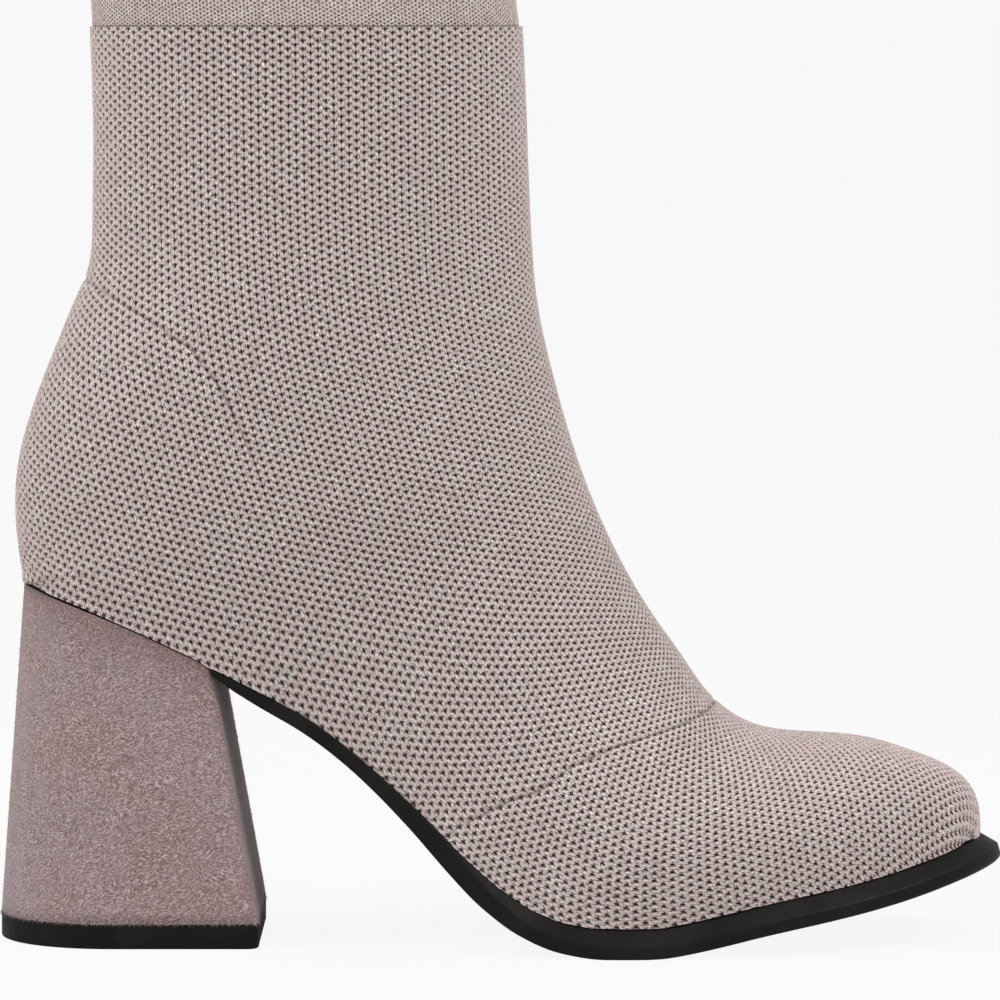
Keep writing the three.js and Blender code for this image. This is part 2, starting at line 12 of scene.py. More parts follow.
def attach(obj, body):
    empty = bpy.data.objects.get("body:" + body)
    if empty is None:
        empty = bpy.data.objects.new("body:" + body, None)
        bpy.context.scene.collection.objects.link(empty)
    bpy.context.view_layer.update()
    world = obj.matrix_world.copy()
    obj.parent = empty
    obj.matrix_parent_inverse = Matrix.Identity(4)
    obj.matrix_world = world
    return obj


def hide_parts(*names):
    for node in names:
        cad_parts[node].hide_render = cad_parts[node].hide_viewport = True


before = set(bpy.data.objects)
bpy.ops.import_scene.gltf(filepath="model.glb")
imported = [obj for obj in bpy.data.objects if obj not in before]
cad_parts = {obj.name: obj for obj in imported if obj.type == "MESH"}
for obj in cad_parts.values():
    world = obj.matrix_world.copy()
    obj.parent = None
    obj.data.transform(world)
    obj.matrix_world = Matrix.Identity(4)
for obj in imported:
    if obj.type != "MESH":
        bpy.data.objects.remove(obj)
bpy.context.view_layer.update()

# Sizes are millimetres in the boot's own frame, x from heel to toe, y to the inner side and
# z up, unless a comment says otherwise. Counts of rows, rays and samples have no unit.
MM = 0.001  # metres
TINY = 1e-9

CUFF_LINE = 220.7  # where the finer knit of the cuff starts
CUFF_STEP_AT = 219.3  # the solid steps in here
CUFF_STEP_CLEAR = 0.4  # rows above the step are measured this far below it
COLLAR = 233.8
KNIT_WALL = 1.9
SEAT_BACK = -25.05  # where the knit meets the back of the heel
SEAT_START = SEAT_BACK + 0.2  # the first place that the upper stands on
TOE_TIP = 206.1
SOLE_GAP = 0.3  # between the upper and what it stands on
SOLE_CLEARANCE = 0.6  # rays stop this far above the solid's edge
EDGE_REACH = 0.85  # and the knit runs on down by this

# The knit: columns of holes, and rows (courses) of stitches
COLUMN_PITCH = 1.79
FINE_SHARE = 0.5  # the cuff's stitches against the others
COURSE_HEIGHT = 1.94
RELIEF = 0.55  # from a hole's floor to a stitch's crown
FINE_RELIEF = 0.16
MEAN_HEIGHT = 0.6  # the share of the relief that lies on the solid's face
KNIT_LIFT = 0.15  # the yarn stands this far proud of the solid's flat facets
EDGE_CALM = 0.6  # the relief dies out over this at an edge

# A stitch is a V of two legs between three columns, in shares of a column and a course
LEGS = ((0.27, 0.45, 0.43), (0.73, 0.95, -0.43))  # centre across, centre along, lean
LEG_WIDTH = 0.3
LEG_LENGTH = 0.51
HOLE_WIDTH = 0.15
HOLE_LENGTH = 0.28

# Each row of stitches lies in a plane that passes the boot's front at (x, z) and falls
# towards the back by the tilt in degrees. Courses are counted down from the cuff line.
COURSES = [
    dict(course=0.0, x=94.3, z=219.3, tilt=0.0),
    dict(course=10.6, x=95.9, z=200.8, tilt=2.0),
    dict(course=20.6, x=96.0, z=182.9, tilt=4.1),
    dict(course=30.6, x=96.8, z=166.2, tilt=6.3),
    dict(course=40.6, x=99.1, z=149.7, tilt=9.0),
    dict(course=50.6, x=102.7, z=134.7, tilt=11.9),
    dict(course=60.6, x=107.2, z=119.4, tilt=14.3),
    dict(course=72.6, x=114.0, z=102.4, tilt=19.7),
    dict(course=84.6, x=121.5, z=85.5, tilt=29.1),
    dict(course=96.6, x=131.5, z=70.4, tilt=38.0),
    dict(course=108.6, x=142.5, z=57.0, tilt=46.4),
    dict(course=116.6, x=153.5, z=50.6, tilt=52.7),
    dict(course=124.6, x=166.1, z=49.1, tilt=61.7),
    dict(course=132.6, x=180.5, z=47.7, tilt=67.1),
    dict(course=140.6, x=195.1, z=43.0, tilt=68.8),
    dict(course=148.6, x=206.2, z=29.0, tilt=69.0),
]
FIRST_COURSE = -0.8
LAST_COURSE = 148.8
COURSE_STEP = 0.8  # courses between the rows at which the solid is measured
COURSE_NEAR = 0.1  # courses closer than this count as one
TIP_COURSE = LAST_COURSE + COURSE_STEP
TIP_ROWS = 16  # samples from the last measured row down to the sole at the toe

# The skin's panels: first and last course, samples per course and per half row
PANELS = [
    dict(name="shaft_knit", start=FIRST_COURSE, stop=36.0, per_course=4, half=340),
    dict(name="ankle_knit", start=36.0, stop=72.0, per_course=4, half=340),
    dict(name="instep_knit", start=72.0, stop=120.0, per_course=4, half=236),
    dict(name="toe_knit", start=120.0, stop=TIP_COURSE, per_course=4, half=170),
]

# Edges of the stiffeners under the knit, seen from the side
COUNTER_SEAM = [
    dict(x=-13.0, z=161.0), dict(x=-8.5, z=159.0), dict(x=5.0, z=151.5), dict(x=16.2, z=144.3),
    dict(x=23.5, z=134.5), dict(x=28.0, z=125.2), dict(x=32.5, z=114.0), dict(x=35.3, z=106.0),
    dict(x=36.6, z=94.4), dict(x=37.4, z=74.0), dict(x=37.6, z=58.0),
]
TOE_SEAM = [
    dict(x=142.3, z=57.2), dict(x=134.3, z=54.4), dict(x=117.2, z=49.8), dict(x=106.8, z=45.2),
    dict(x=99.6, z=39.8), dict(x=91.4, z=36.6), dict(x=82.0, z=31.5), dict(x=78.3, z=29.0),
    dict(x=76.2, z=26.0),
]
COUNTER_FADE = (108.0, 130.0)  # the counter's seam is faint below these heights, full above
COUNTER_FAINT = 0.5  # share of its depth there
SEAM_DEPTH = 0.45
SEAM_WIDTH = 0.55

# Rays and smoothing
REACH = 150.0  # a ray starts this far outside the boot
RETRIES = (0.0, 0.02, -0.03)  # how far a ray is moved when it is cast again
SUPPORT_STEP = 1.0
PROFILE_STEPS = 3001  # places tried along a row's plane for where the sole begins
SWEEP_RAYS = 160
COARSE_HALF = 72  # samples of a half row
COARSE_LAST = 2 * COARSE_HALF - 2  # last column of a whole row
FACET_BLUR = 4.5
ROUND_REACH = 8  # samples that the smoothing takes in round the boot
ALONG_REACH = 12  # and along it
END_BUNCH = 9  # how late a half row's samples close up towards an end that jumps
TIP_PIVOT = 20.0  # rays round the toe's tip meet this far behind its last measured row


def vec(x, y, z):
    return np.array([x, y, z], float)


def unit(vectors, spare=0.0):
    """Vectors brought to length 1; some to spare is for those that may have none."""
    return vectors / (np.linalg.norm(vectors, axis=-1, keepdims=True) + spare)


def curve_through(rows, key, column):
    """A smooth curve through a table's column."""
    xs = np.array([row[key] for row in rows], float)
    ys = np.array([row[column] for row in rows], float)
    steps = np.diff(ys) / np.diff(xs)
    slopes = np.concatenate([steps[:1], (steps[:-1] + steps[1:]) / 2, steps[-1:]])

    def at(value):
        i = np.clip(np.searchsorted(xs, value) - 1, 0, len(xs) - 2)
        width = xs[i + 1] - xs[i]
        t = (value - xs[i]) / width
        rise, start, end = ys[i + 1] - ys[i], slopes[i] * width, slopes[i + 1] * width
        return ys[i] + t * (start + t * (3 * rise - 2 * start - end + t * (start + end - 2 * rise)))

    return at


def lengths_along(points):
    """Distance of each point of a line from its first."""
    steps = np.linalg.norm(np.diff(points, axis=0), axis=1)
    return np.concatenate([[0], np.cumsum(steps)])


def at_lengths(points, wanted):
    """Points of a line at the wanted distances from its first."""
    lengths = lengths_along(points)
    return np.stack([np.interp(wanted, lengths, points[:, k]) for k in range(3)], 1)


def evenly(points, count):
    """A line as so many points at even distances."""
    return at_lengths(points, np.linspace(0, lengths_along(points)[-1], count))


# ---- The solids, as surfaces for rays


def surface_of(node):
    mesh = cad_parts[node].data
    points = [v.co / MM for v in mesh.vertices]
    return BVHTree.FromPolygons(points, [p.vertices[:] for p in mesh.polygons])


def hit(surface, start, direction):
    """Where a ray first meets a surface; one that slips between two facets is cast again."""
    for shift in RETRIES:
        place = surface.ray_cast(Vector(start + shift * vec(1, 0, 1)), Vector(direction))[0]
        if place is not None:
            return np.array(place)
    return None


upper = surface_of("upper")
insole = surface_of("insole")
outsole = surface_of("outsole")
heel = surface_of("heel")
top_piece = surface_of("top_piece")


def support_height(x):
    """Top of the sole or the heel under the middle of the foot."""
    tops = [hit(surface, vec(x, 0, REACH), vec(0, 0, -1)) for surface in (outsole, heel)]
    return max(top[2] for top in tops if top is not None)


support_x = np.arange(SEAT_START, TOE_TIP, SUPPORT_STEP)
support_z = np.array([support_height(x) for x in support_x])


def sole_line(x):
    """Height of the upper's lower edge; behind the seat there is none."""
    height = np.interp(x, support_x, support_z) + SOLE_GAP
    return np.where(x < SEAT_BACK, -REACH, height)


# ---- The upper's outer face, measured row by row


def middle(point):
    """The point, moved to the middle between the boot's two sides."""
    sides = [hit(upper, point + vec(0, s * REACH, 0), vec(0, -s, 0)) for s in (-1, 1)]
    met = [side[1] for side in sides if side is not None]
    return vec(point[0], sum(met) / max(len(met), 1), point[2])


def row_ends(front, forward):
    """Where a row's plane meets the boot's front, and its back or its open sole."""
    top = hit(upper, front + REACH * forward, -forward)
    line = top - np.linspace(0, 2 * REACH, PROFILE_STEPS)[:, None] * forward
    below = np.nonzero(line[:, 2] < sole_line(line[:, 0]) + SOLE_CLEARANCE)[0]
    if len(below):
        return top, line[below[0] - 1], True
    return top, hit(upper, front - 2 * REACH * forward, forward), False


def measure_row(front, forward):
    """A row's two halves on the solid's outer face, each from the front to its end."""
    top, end, opens = row_ends(front, forward)
    centre = middle((top + end) / 2)
    halves = []
    for side in (-1.0, 1.0):
        across = vec(0, side, 0)
        last = math.pi
        edge = hit(upper, middle(end) + REACH * across, -across) if opens else end
        if opens:
            last = math.atan2(np.dot(edge - centre, across), np.dot(edge - centre, forward))
        points = []
        for angle in np.linspace(0, last, SWEEP_RAYS)[:-1]:
            ray = math.cos(angle) * forward + math.sin(angle) * across
            points.append(hit(upper, centre + REACH * ray, -ray))
        halves.append(np.array([point for point in points + [edge] if point is not None]))
    return halves, opens


def even_halves(half_rows):
    """Samples each half row; they stay in line from row to row, except near a jumping end."""
    totals = np.array([lengths_along(half)[-1] for half in half_rows])
    reach = np.arange(-ALONG_REACH, ALONG_REACH + 1)
    weights = np.exp(-0.5 * (reach / (ALONG_REACH / 2)) ** 2)
    padded = np.pad(totals, ALONG_REACH, mode="edge")
    calm = np.convolve(padded, weights / weights.sum(), "valid")
    t = np.linspace(0, 1, COARSE_HALF)
    wanted = [t * even + (total - even) * t**END_BUNCH for total, even in zip(totals, calm)]
    return np.array([at_lengths(half, w) for half, w in zip(half_rows, wanted)])


def whole_rows(rows):
    """Rows of two halves as one grid, from the outer half's end over the front."""
    outer, inner = (even_halves([halves[side] for halves in rows]) for side in (0, 1))
    return np.concatenate([outer[:, ::-1], inner[:, 1:]], axis=1)


def soften(grid, reach, axis, sigma=FACET_BLUR):
    """Takes a solid's flat facets out of a grid and leaves its form, along one axis."""
    places = np.moveaxis(grid, axis, 0)

    def longer(values):
        head = 2 * values[:1] - values[reach:0:-1]
        tail = 2 * values[-1:] - values[-2:-reach - 2:-1]
        return np.concatenate([head, values, tail])

    long_places = longer(places)

    def once(values):
        long_values = longer(values)
        total, weight = 0, 0
        for k in range(2 * reach + 1):
            away = ((long_places[k:k + len(places)] - places) ** 2).sum(-1, keepdims=True)
            share = np.exp(-0.5 * away / sigma**2)
            total = total + share * long_values[k:k + len(places)]
            weight = weight + share
        return total / weight

    first = once(places)
    return np.moveaxis(first + once(places - first), 0, axis)


def soften_rows(grid, closed):
    """Softens rows round the boot and along it; a closed row runs on over the back."""
    shut = closed[:, None, None]
    reach = ROUND_REACH
    head = np.where(shut, grid[:, -reach - 1:-1], 2 * grid[:, :1] - grid[:, reach:0:-1])
    tail = np.where(shut, grid[:, 1:reach + 1], 2 * grid[:, -1:] - grid[:, -2:-reach - 2:-1])
    wide = soften(np.concatenate([head, grid, tail], axis=1), reach, 1)
    grid = soften(wide[:, reach:-reach], min(ALONG_REACH, len(grid) - 2), 0)
    meeting = (grid[:, 0] + grid[:, -1]) / 2
    for column in (0, -1):
        grid[:, column] = np.where(closed[:, None], meeting, grid[:, column])
    return grid


def toe_edge(row):
    """The knit's lower edge round the tip of the toe, under the last measured row."""
    pivot = vec(row[:, 0].min() - TIP_PIVOT, row[len(row) // 2, 1], 0)
    points = []
    for point in row:
        level = vec(pivot[0], pivot[1], sole_line(point[0]) + SOLE_CLEARANCE)
        out = unit((point - pivot) * vec(1, 1, 0))
        points.append(hit(upper, level + REACH * out, -out))
    return np.array(points)


def normals_of(grid):
    """Directions out of a grid of rows that run round the boot."""
    normals = unit(np.cross(np.gradient(grid, axis=1), np.gradient(grid, axis=0)), TINY)
    return normals if normals[0, grid.shape[1] // 2, 0] > 0 else -normals


def seat_the_back(grid, last):
    """Brings the last row that runs right round the boot down to the heel's seat at the back."""
    back = grid[last, 0].copy()
    away = np.linalg.norm(grid[last] - back, axis=1)
    reach = np.linalg.norm(grid[last + 1, 0] - back)
    drop = back[2] - (sole_line(SEAT_START) + SOLE_CLEARANCE)
    for column in np.nonzero(away < reach)[0]:
        share = 1 - away[column] / reach
        out = unit(grid[last, column] * vec(1, 1, 0))
        place = grid[last, column] - vec(0, 0, drop * share)
        found = hit(upper, place + REACH * out, -out)
        place = place if found is None else found
        grid[last, column] = place - vec(0, 0, EDGE_REACH * share)


front_x = curve_through(COURSES, "course", "x")
front_z = curve_through(COURSES, "course", "z")
tilt_at = curve_through(COURSES, "course", "tilt")


def measure_upper():
    """The upper's outer face as a grid of rows, and which of them run right round the boot."""
    rows, closed = [], []
    for course in np.arange(FIRST_COURSE, TIP_COURSE - COURSE_STEP / 2, COURSE_STEP):
        tilt = math.radians(tilt_at(max(course, 0)))
        lift = max(0, front_z(course) - CUFF_STEP_AT + CUFF_STEP_CLEAR)
        halves, opens = measure_row(vec(front_x(max(course, 0)), 0, front_z(course) - lift),
                                    vec(math.cos(tilt), 0, math.sin(tilt)))
        rows.append([half + vec(0, 0, lift) for half in halves])
        closed.append(not opens)
    grid = whole_rows(rows)
    return np.concatenate([grid, toe_edge(grid[-1])[None]]), np.array(closed + [False])


def knit_skin(grid, closed):
    """The measured face without its facets, drawn on over the edges of the sole and the heel."""
    soft_grid = soften_rows(grid, closed)
    outward = normals_of(soft_grid)
    skin = grid + outward * ((soft_grid - grid) * outward).sum(axis=2, keepdims=True)
    skin[closed, 0] = skin[closed, -1] = (skin[closed, 0] + skin[closed, -1]) / 2
    seat_the_back(skin, np.nonzero(closed)[0][-1])
    for end, next_in in ((0, 1), (-1, -2)):
        down = unit(skin[:, end] - skin[:, next_in], TINY)
        skin[:, end] += np.where(closed[:, None], 0, EDGE_REACH) * down
    skin[-1, :, 2] -= EDGE_REACH
    return skin


def spline_rows(values, places):
    """Smooth samples of a table's rows at fractional row numbers."""
    i = np.clip(np.floor(places).astype(int), 0, len(values) - 2)
    t = (places - i).reshape((-1,) + (1,) * (values.ndim - 1))
    a, b, c, d = (values[np.clip(i + k, 0, len(values) - 1)] for k in (-1, 0, 1, 2))
    a = np.where((i == 0).reshape(t.shape), 2 * b - c, a)
    d = np.where((i == len(values) - 2).reshape(t.shape), 2 * c - b, d)
    return b + 0.5 * t * (c - a + t * (2 * a - 5 * b + 4 * c - d + t * (3 * (b - c) + d - a)))


def resample(grid, rows, columns):
    """A grid's values at fractional rows and columns."""
    return np.moveaxis(spline_rows(np.moveaxis(spline_rows(grid, rows), 1, 0), columns), 0, 1)


def columns_round(grid):
    """Distance of each sample from the front's middle line, along its row."""
    steps = np.linalg.norm(np.diff(grid, axis=1), axis=2)
    lengths = np.concatenate([np.zeros((len(grid), 1)), np.cumsum(steps, axis=1)], axis=1)
    return lengths - lengths[:, grid.shape[1] // 2][:, None]


# ---- The stitches' relief and the seams


def stitch_height(column, course):
    """Relief of the knit, from 0 in a hole to 1 on the crown of a leg."""
    left = np.floor(column)
    across = column - left
    phase = 0.5 * np.mod(left, 2)
    height = np.zeros_like(column)
    for centre, start, lean in LEGS:
        along = course - start - phase
        along = along - np.round(along)
        leg = 1 - ((across - centre + lean * along) / LEG_WIDTH) ** 2 - (along / LEG_LENGTH) ** 2
        height = np.maximum(height, leg)
    nearest = np.round(column)
    along = course - 0.5 * np.mod(nearest, 2)
    along = along - np.round(along)
    hole = np.exp(-((column - nearest) / HOLE_WIDTH) ** 2 - (along / HOLE_LENGTH) ** 2)
    return np.sqrt(np.clip(height, 0, 1)) * (1 - hole)


def calm_ends(away):
    """1 over a panel, falling to 0 at the two ends of its rows."""
    ends = np.where(away < 0, away[:, :1], away[:, -1:])
    return np.clip((np.abs(ends) - np.abs(away)) / EDGE_CALM, 0, 1)


def seam_share(points, seam):
    """1 on a seam that is drawn in the side view, on both sides, falling to 0 off it."""
    line = np.array([[row["x"], row["z"]] for row in seam])
    flat = points[..., ::2]
    nearest = np.full(flat.shape[:-1], np.inf)
    for start, end in zip(line[:-1], line[1:]):
        along = end - start
        t = np.clip(((flat - start) @ along) / (along @ along), 0, 1)
        away = np.linalg.norm(flat - start - t[..., None] * along, axis=-1)
        nearest = np.minimum(nearest, away)
    return np.exp(-((nearest / SEAM_WIDTH) ** 2))


def both_seams(points):
    """Where the counter's and the toe puff's edges press the knit in."""
    faded = np.interp(points[..., 2], COUNTER_FADE, (COUNTER_FAINT, 1.0))
    return np.maximum(faded * seam_share(points, COUNTER_SEAM), seam_share(points, TOE_SEAM))


# ---- Meshes


def add_piece(name, mesh, slot, material, *nodes):
    """A finished mesh as a piece of the boot that stands for CAD nodes."""
    mesh.shade_smooth()
    mesh.materials.append(material)
    piece = bpy.data.objects.new(name, mesh)
    bpy.context.scene.collection.objects.link(piece)
    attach(piece, "root")
    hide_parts(*nodes)
    return piece


def grid_mesh(name, points, knit=None, shade=None):
    """A mesh of quads over a grid of points, with its place in the knit and on the sheet."""
    rows, columns = points.shape[:2]
    index = np.arange(rows * columns, dtype=np.int32).reshape(rows, columns)
    corners = (index[:-1, :-1], index[:-1, 1:], index[1:, 1:], index[1:, :-1])
    quads = np.stack(corners, axis=2).reshape(-1)
    mesh = bpy.data.meshes.new(name)
    mesh.vertices.add(rows * columns)
    mesh.vertices.foreach_set("co", (points.reshape(-1, 3) * MM).astype(np.float32).ravel())
    mesh.loops.add(len(quads))
    mesh.loops.foreach_set("vertex_index", quads)
    mesh.polygons.add(len(quads) // 4)
    mesh.polygons.foreach_set("loop_start", np.arange(0, len(quads), 4, dtype=np.int32))
    mesh.polygons.foreach_set("loop_total", np.full(len(quads) // 4, 4, np.int32))
    sheet = np.stack(np.meshgrid(np.linspace(0, 1, columns), np.linspace(0, 1, rows)), axis=2)
    for layer, values in (("knit", knit), ("OFBake", sheet)):
        if values is not None:
            flat = values.reshape(-1, 2)[quads].astype(np.float32).ravel()
            mesh.uv_layers.new(name=layer).data.foreach_set("uv", flat)
    # the seam value, by which the materials paint shade into creases and along a shaded edge
    if shade is not None:
        shades = mesh.attributes.new("seam", "FLOAT", "POINT")
        shades.data.foreach_set("value", shade.astype(np.float32).ravel())
    mesh.update(calc_edges=True)
    mesh.validate()
    return mesh


WELD = 0.004  # corners nearer than this become one


def closed_piece(name, points, slot, material, node, shade=None):
    """A piece from a grid that meets itself, with flat faces over what is left open."""
    mesh = grid_mesh(node + "_shape", points, shade=shade)
    shape = bmesh.new()
    shape.from_mesh(mesh)
    bmesh.ops.remove_doubles(shape, verts=shape.verts, dist=WELD * MM)
    bmesh.ops.holes_fill(shape, edges=shape.edges, sides=0)
    bmesh.ops.recalc_face_normals(shape, faces=shape.faces)
    shape.to_mesh(mesh)
    shape.free()
    piece = add_piece(name, mesh, slot, material, node)
    for polygon in piece.data.polygons:
        if len(polygon.vertices) > 4:
            polygon.use_smooth = False


# ---- Materials. Noise scales are details to a metre; a band is where a mask starts and is full


class Sketch:
    """Adds shader nodes to one tree. A value may be a socket, a number or a colour."""

    def __init__(self, tree):
        self.tree = tree

    def add(self, kind, inputs=(), **settings):
        node = self.tree.nodes.new("ShaderNode" + kind)
        for key, value in settings.items():
            setattr(node, key, value)
        for key, value in dict(inputs).items():
            if isinstance(value, bpy.types.NodeSocket):
                self.tree.links.new(value, node.inputs[key])
            else:
                node.inputs[key].default_value = value
        return node

    def feed(self, inputs, **values):
        """Links sockets to labelled inputs, with an underscore for a space as well."""
        for label, value in values.items():
            self.tree.links.new(value, inputs[label.replace("_", " ")])

    def math(self, operation, *values):
        return self.add("Math", enumerate(values), operation=operation).outputs[0]

    def times(self, first, second):
        return self.math("MULTIPLY", first, second)

    def plus(self, first, second, share):
        """The first value and a share of the second."""
        return self.math("ADD", first, self.times(second, share))

    def group(self, tree, **values):
        """Places a shader group; an underscore in a name stands for a space in its label."""
        inputs = {label.replace("_", " "): value for label, value in values.items()}
        return self.add("Group", inputs, node_tree=tree).outputs

    def band(self, value, low, high, start=0.0, stop=1.0):
        """A smooth step from start to stop as the value goes from low to high."""
        inputs = {"Value": value, "From Min": low, "From Max": high,
                  "To Min": start, "To Max": stop}
        return self.add("MapRange", inputs, interpolation_type="SMOOTHSTEP").outputs[0]

    def mix(self, factor, first, second):
        return self.add("Mix", {0: factor, 6: first, 7: second}, data_type="RGBA").outputs[2]

    def noise(self, vector, scale, detail=2.0, distortion=0.0):
        inputs = {"Vector": vector, "Scale": scale, "Detail": detail, "Distortion": distortion}
        return self.add("TexNoise", inputs).outputs[0]

    def bump(self, height, depth):
        """A normal from a height; the depth is in millimetres."""
        return self.add("Bump", {"Height": height, "Distance": depth * MM}).outputs["Normal"]

    def place(self):
        return self.add("TexCoord").outputs["Object"]

    def shade(self):
        """The value from 0 to 1 that a mesh carries for its seams or its shaded edge; materials
        paint shade by it.
        """
        return self.add("Attribute", attribute_name="seam").outputs["Fac"]


def rgb(red, green, blue):
    """A colour as the screen shows it, 0 to 255, for a shader's socket."""
    shares = np.array([red, green, blue]) / 255
    linear = np.where(shares < 0.04045, shares / 12.92, ((shares + 0.055) / 1.055) ** 2.4)
    return (*linear, 1.0)


def grey(share):
    """A neutral colour by the share of light that it gives back."""
    return (share, share, share, 1.0)


def new_group(name, inputs, outputs):
    """An empty shader group; its sockets are given by label and kind."""
    tree = bpy.data.node_groups.new(name, "ShaderNodeTree")
    for in_out, sockets in (("INPUT", inputs), ("OUTPUT", outputs)):
        for label, kind in sockets.items():
            tree.interface.new_socket(label, in_out=in_out, socket_type="NodeSocket" + kind)
    given = tree.nodes.new("NodeGroupInput").outputs
    return Sketch(tree), given, tree.nodes.new("NodeGroupOutput").inputs


def new_material(name, roughness, sheen=0.0, specular=0.5):
    material = bpy.data.materials.new(name)
    material.use_nodes = True
    shader = material.node_tree.nodes["Principled BSDF"]
    shader.inputs["Roughness"].default_value = roughness
    shader.inputs["Specular IOR Level"].default_value = specular
    shader.inputs["Sheen Weight"].default_value = sheen
    return material, Sketch(material.node_tree), shader.inputs


def stitch_group():
    """The knit's relief, its holes and a value for each stitch, from column and course."""
    sketch, given, results = new_group("stitches", {"Column": "Float", "Course": "Float"},
                                       {"Height": "Float", "Hole": "Float", "Stitch": "Float"})
    column, course = given["Column"], given["Course"]
    m, times = sketch.math, sketch.times

    def squared(value, size):
        return m("POWER", m("ABSOLUTE", m("DIVIDE", value, size)), 2.0)

    def wrapped(value):
        return m("SUBTRACT", value, m("ROUND", value))

    def half_if_odd(number):
        return times(m("FLOORED_MODULO", number, 2.0), 0.5)

    left = m("FLOOR", column)
    across = m("SUBTRACT", column, left)
    phase = half_if_odd(left)
    height = 0.0
    for centre, start, lean in LEGS:
        along = wrapped(m("SUBTRACT", m("SUBTRACT", course, start), phase))
        slant = m("ADD", m("SUBTRACT", across, centre), times(along, lean))
        far = m("ADD", squared(slant, LEG_WIDTH), squared(along, LEG_LENGTH))
        height = m("MAXIMUM", height, m("SUBTRACT", 1.0, far))
    nearest = m("ROUND", column)
    along = wrapped(m("SUBTRACT", course, half_if_odd(nearest)))
    aside = squared(m("SUBTRACT", column, nearest), HOLE_WIDTH)
    far = m("ADD", aside, squared(along, HOLE_LENGTH))
    hole = m("POWER", math.e, times(far, -1.0))
    crown = times(m("SQRT", m("MAXIMUM", height, 0.0)), m("SUBTRACT", 1.0, hole))
    cell = sketch.add("CombineXYZ", {0: m("FLOOR", times(column, 2.0)),
                                     1: m("FLOOR", times(course, 2.0))}).outputs[0]
    stitch = sketch.add("TexWhiteNoise", {"Vector": cell}).outputs["Value"]
    sketch.feed(results, Height=crown, Hole=hole, Stitch=stitch)
    return sketch.tree


ROSE_YARN = rgb(215, 195, 193)
GREY_YARN = rgb(207, 195, 189)
# painted shade: the valleys' colour, laid where the stitches' relief is low and between strands
VALLEY_SHADE = rgb(112, 89, 86)
PALE_FLECK = rgb(248, 245, 240)
DARK_FLECK = rgb(96, 86, 82)
# painted shade: the near black that fills the knit's holes
HOLE_SHADE = rgb(34, 12, 9)
# painted shade: the colour laid into the seams' creases
CREASE_SHADE = rgb(74, 56, 52)
STRAND_SCALE = 1500.0
FLECK_SCALE = 2600.0
PATCH_SCALE = 160.0
CREASE_PATCH_SCALE = 420.0
GREY_BAND = (0.35, 0.85)
STRAND_BAND = (0.3, 0.7)
STRAND_SHADE_DEPTH = 0.16  # share of the painted valley shade between strands
VALLEY_SHADE_BAND = (0.02, 0.5)
VALLEY_SHADE_DEPTH = 0.95
PALE_BAND = (0.76, 0.82)
DARK_BAND = (0.3, 0.25)
HOLE_SHADE_BAND = (0.28, 0.48)
CREASE_SHADE_BAND = (0.3, 1.0)
CREASE_PATCH_BAND = (0.36, 0.6)
CREASE_PATCH_DEPTH = (0.3, 0.66)  # least and most of the painted crease shade
STITCH_TINT, PATCH_TINT = 0.5, 0.6  # how much a stitch and its patch say in rose or grey
PATCH_FLECK = 0.16  # pale flecks crowd by this where a patch is full
STRAND_RELIEF = 0.2  # against a stitch's height


def marled_knit_group(stitches):
    """Marled yarn: rose and grey stitches, pale and dark flecks; painted shade in holes, valleys
    and creases.
    """
    sketch, given, results = new_group(
        "marled_knit", {"Column": "Float", "Course": "Float", "Place": "Vector",
                        "Crease": "Float", "Hole Depth": "Float"},
        {"Color": "Color", "Relief": "Float"})
    place = given["Place"]
    height, hole, stitch = sketch.group(stitches, Column=given["Column"], Course=given["Course"])
    strand = sketch.noise(place, STRAND_SCALE, detail=1.0)
    fleck = sketch.noise(place, FLECK_SCALE, detail=0.0, distortion=0.6)
    patch = sketch.noise(place, PATCH_SCALE, detail=1.0)
    tint = sketch.plus(sketch.times(stitch, STITCH_TINT), patch, PATCH_TINT)
    yarn = sketch.mix(sketch.band(tint, *GREY_BAND), ROSE_YARN, GREY_YARN)
    # painted shade between strands and in the valleys between legs
    yarn = sketch.mix(sketch.band(strand, *STRAND_BAND, STRAND_SHADE_DEPTH, 0.0), yarn, VALLEY_SHADE)
    yarn = sketch.mix(sketch.band(height, *VALLEY_SHADE_BAND, VALLEY_SHADE_DEPTH, 0.0), yarn, VALLEY_SHADE)
    pale = sketch.band(sketch.plus(fleck, patch, PATCH_FLECK), *PALE_BAND)
    yarn = sketch.mix(pale, yarn, PALE_FLECK)
    yarn = sketch.mix(sketch.band(fleck, *DARK_BAND), yarn, DARK_FLECK)
    # painted shade: the holes go near black, by a share given for each knit
    dark = sketch.times(sketch.band(hole, *HOLE_SHADE_BAND), given["Hole Depth"])
    yarn = sketch.mix(dark, yarn, HOLE_SHADE)
    # painted shade in the seams' creases, broken into patches by noise
    patchy_shade = sketch.band(sketch.noise(place, CREASE_PATCH_SCALE), *CREASE_PATCH_BAND, *CREASE_PATCH_DEPTH)
    crease_shade = sketch.times(sketch.band(given["Crease"], *CREASE_SHADE_BAND), patchy_shade)
    sketch.feed(results, Color=sketch.mix(crease_shade, yarn, CREASE_SHADE),
                Relief=sketch.plus(height, strand, STRAND_RELIEF))
    return sketch.tree


def knit_material(name, marled_knit, share, hole_shade, bump_depth):
    """The yarn at the size of its stitches, against the shaft's."""
    material, sketch, shader = new_material(name, 0.8, sheen=0.34, specular=0.3)
    shader["Sheen Tint"].default_value = ROSE_YARN
    chart = sketch.add("SeparateXYZ", {0: sketch.add("UVMap", uv_map="knit").outputs[0]}).outputs
    column, course = (sketch.math("DIVIDE", chart[axis], share) for axis in (0, 1))
    yarn = sketch.group(marled_knit, Column=column, Course=course, Place=sketch.place(),
                        Crease=sketch.shade(), Hole_Depth=hole_shade)
    sketch.feed(shader, Base_Color=yarn["Color"], Normal=sketch.bump(yarn["Relief"], bump_depth))
    return material


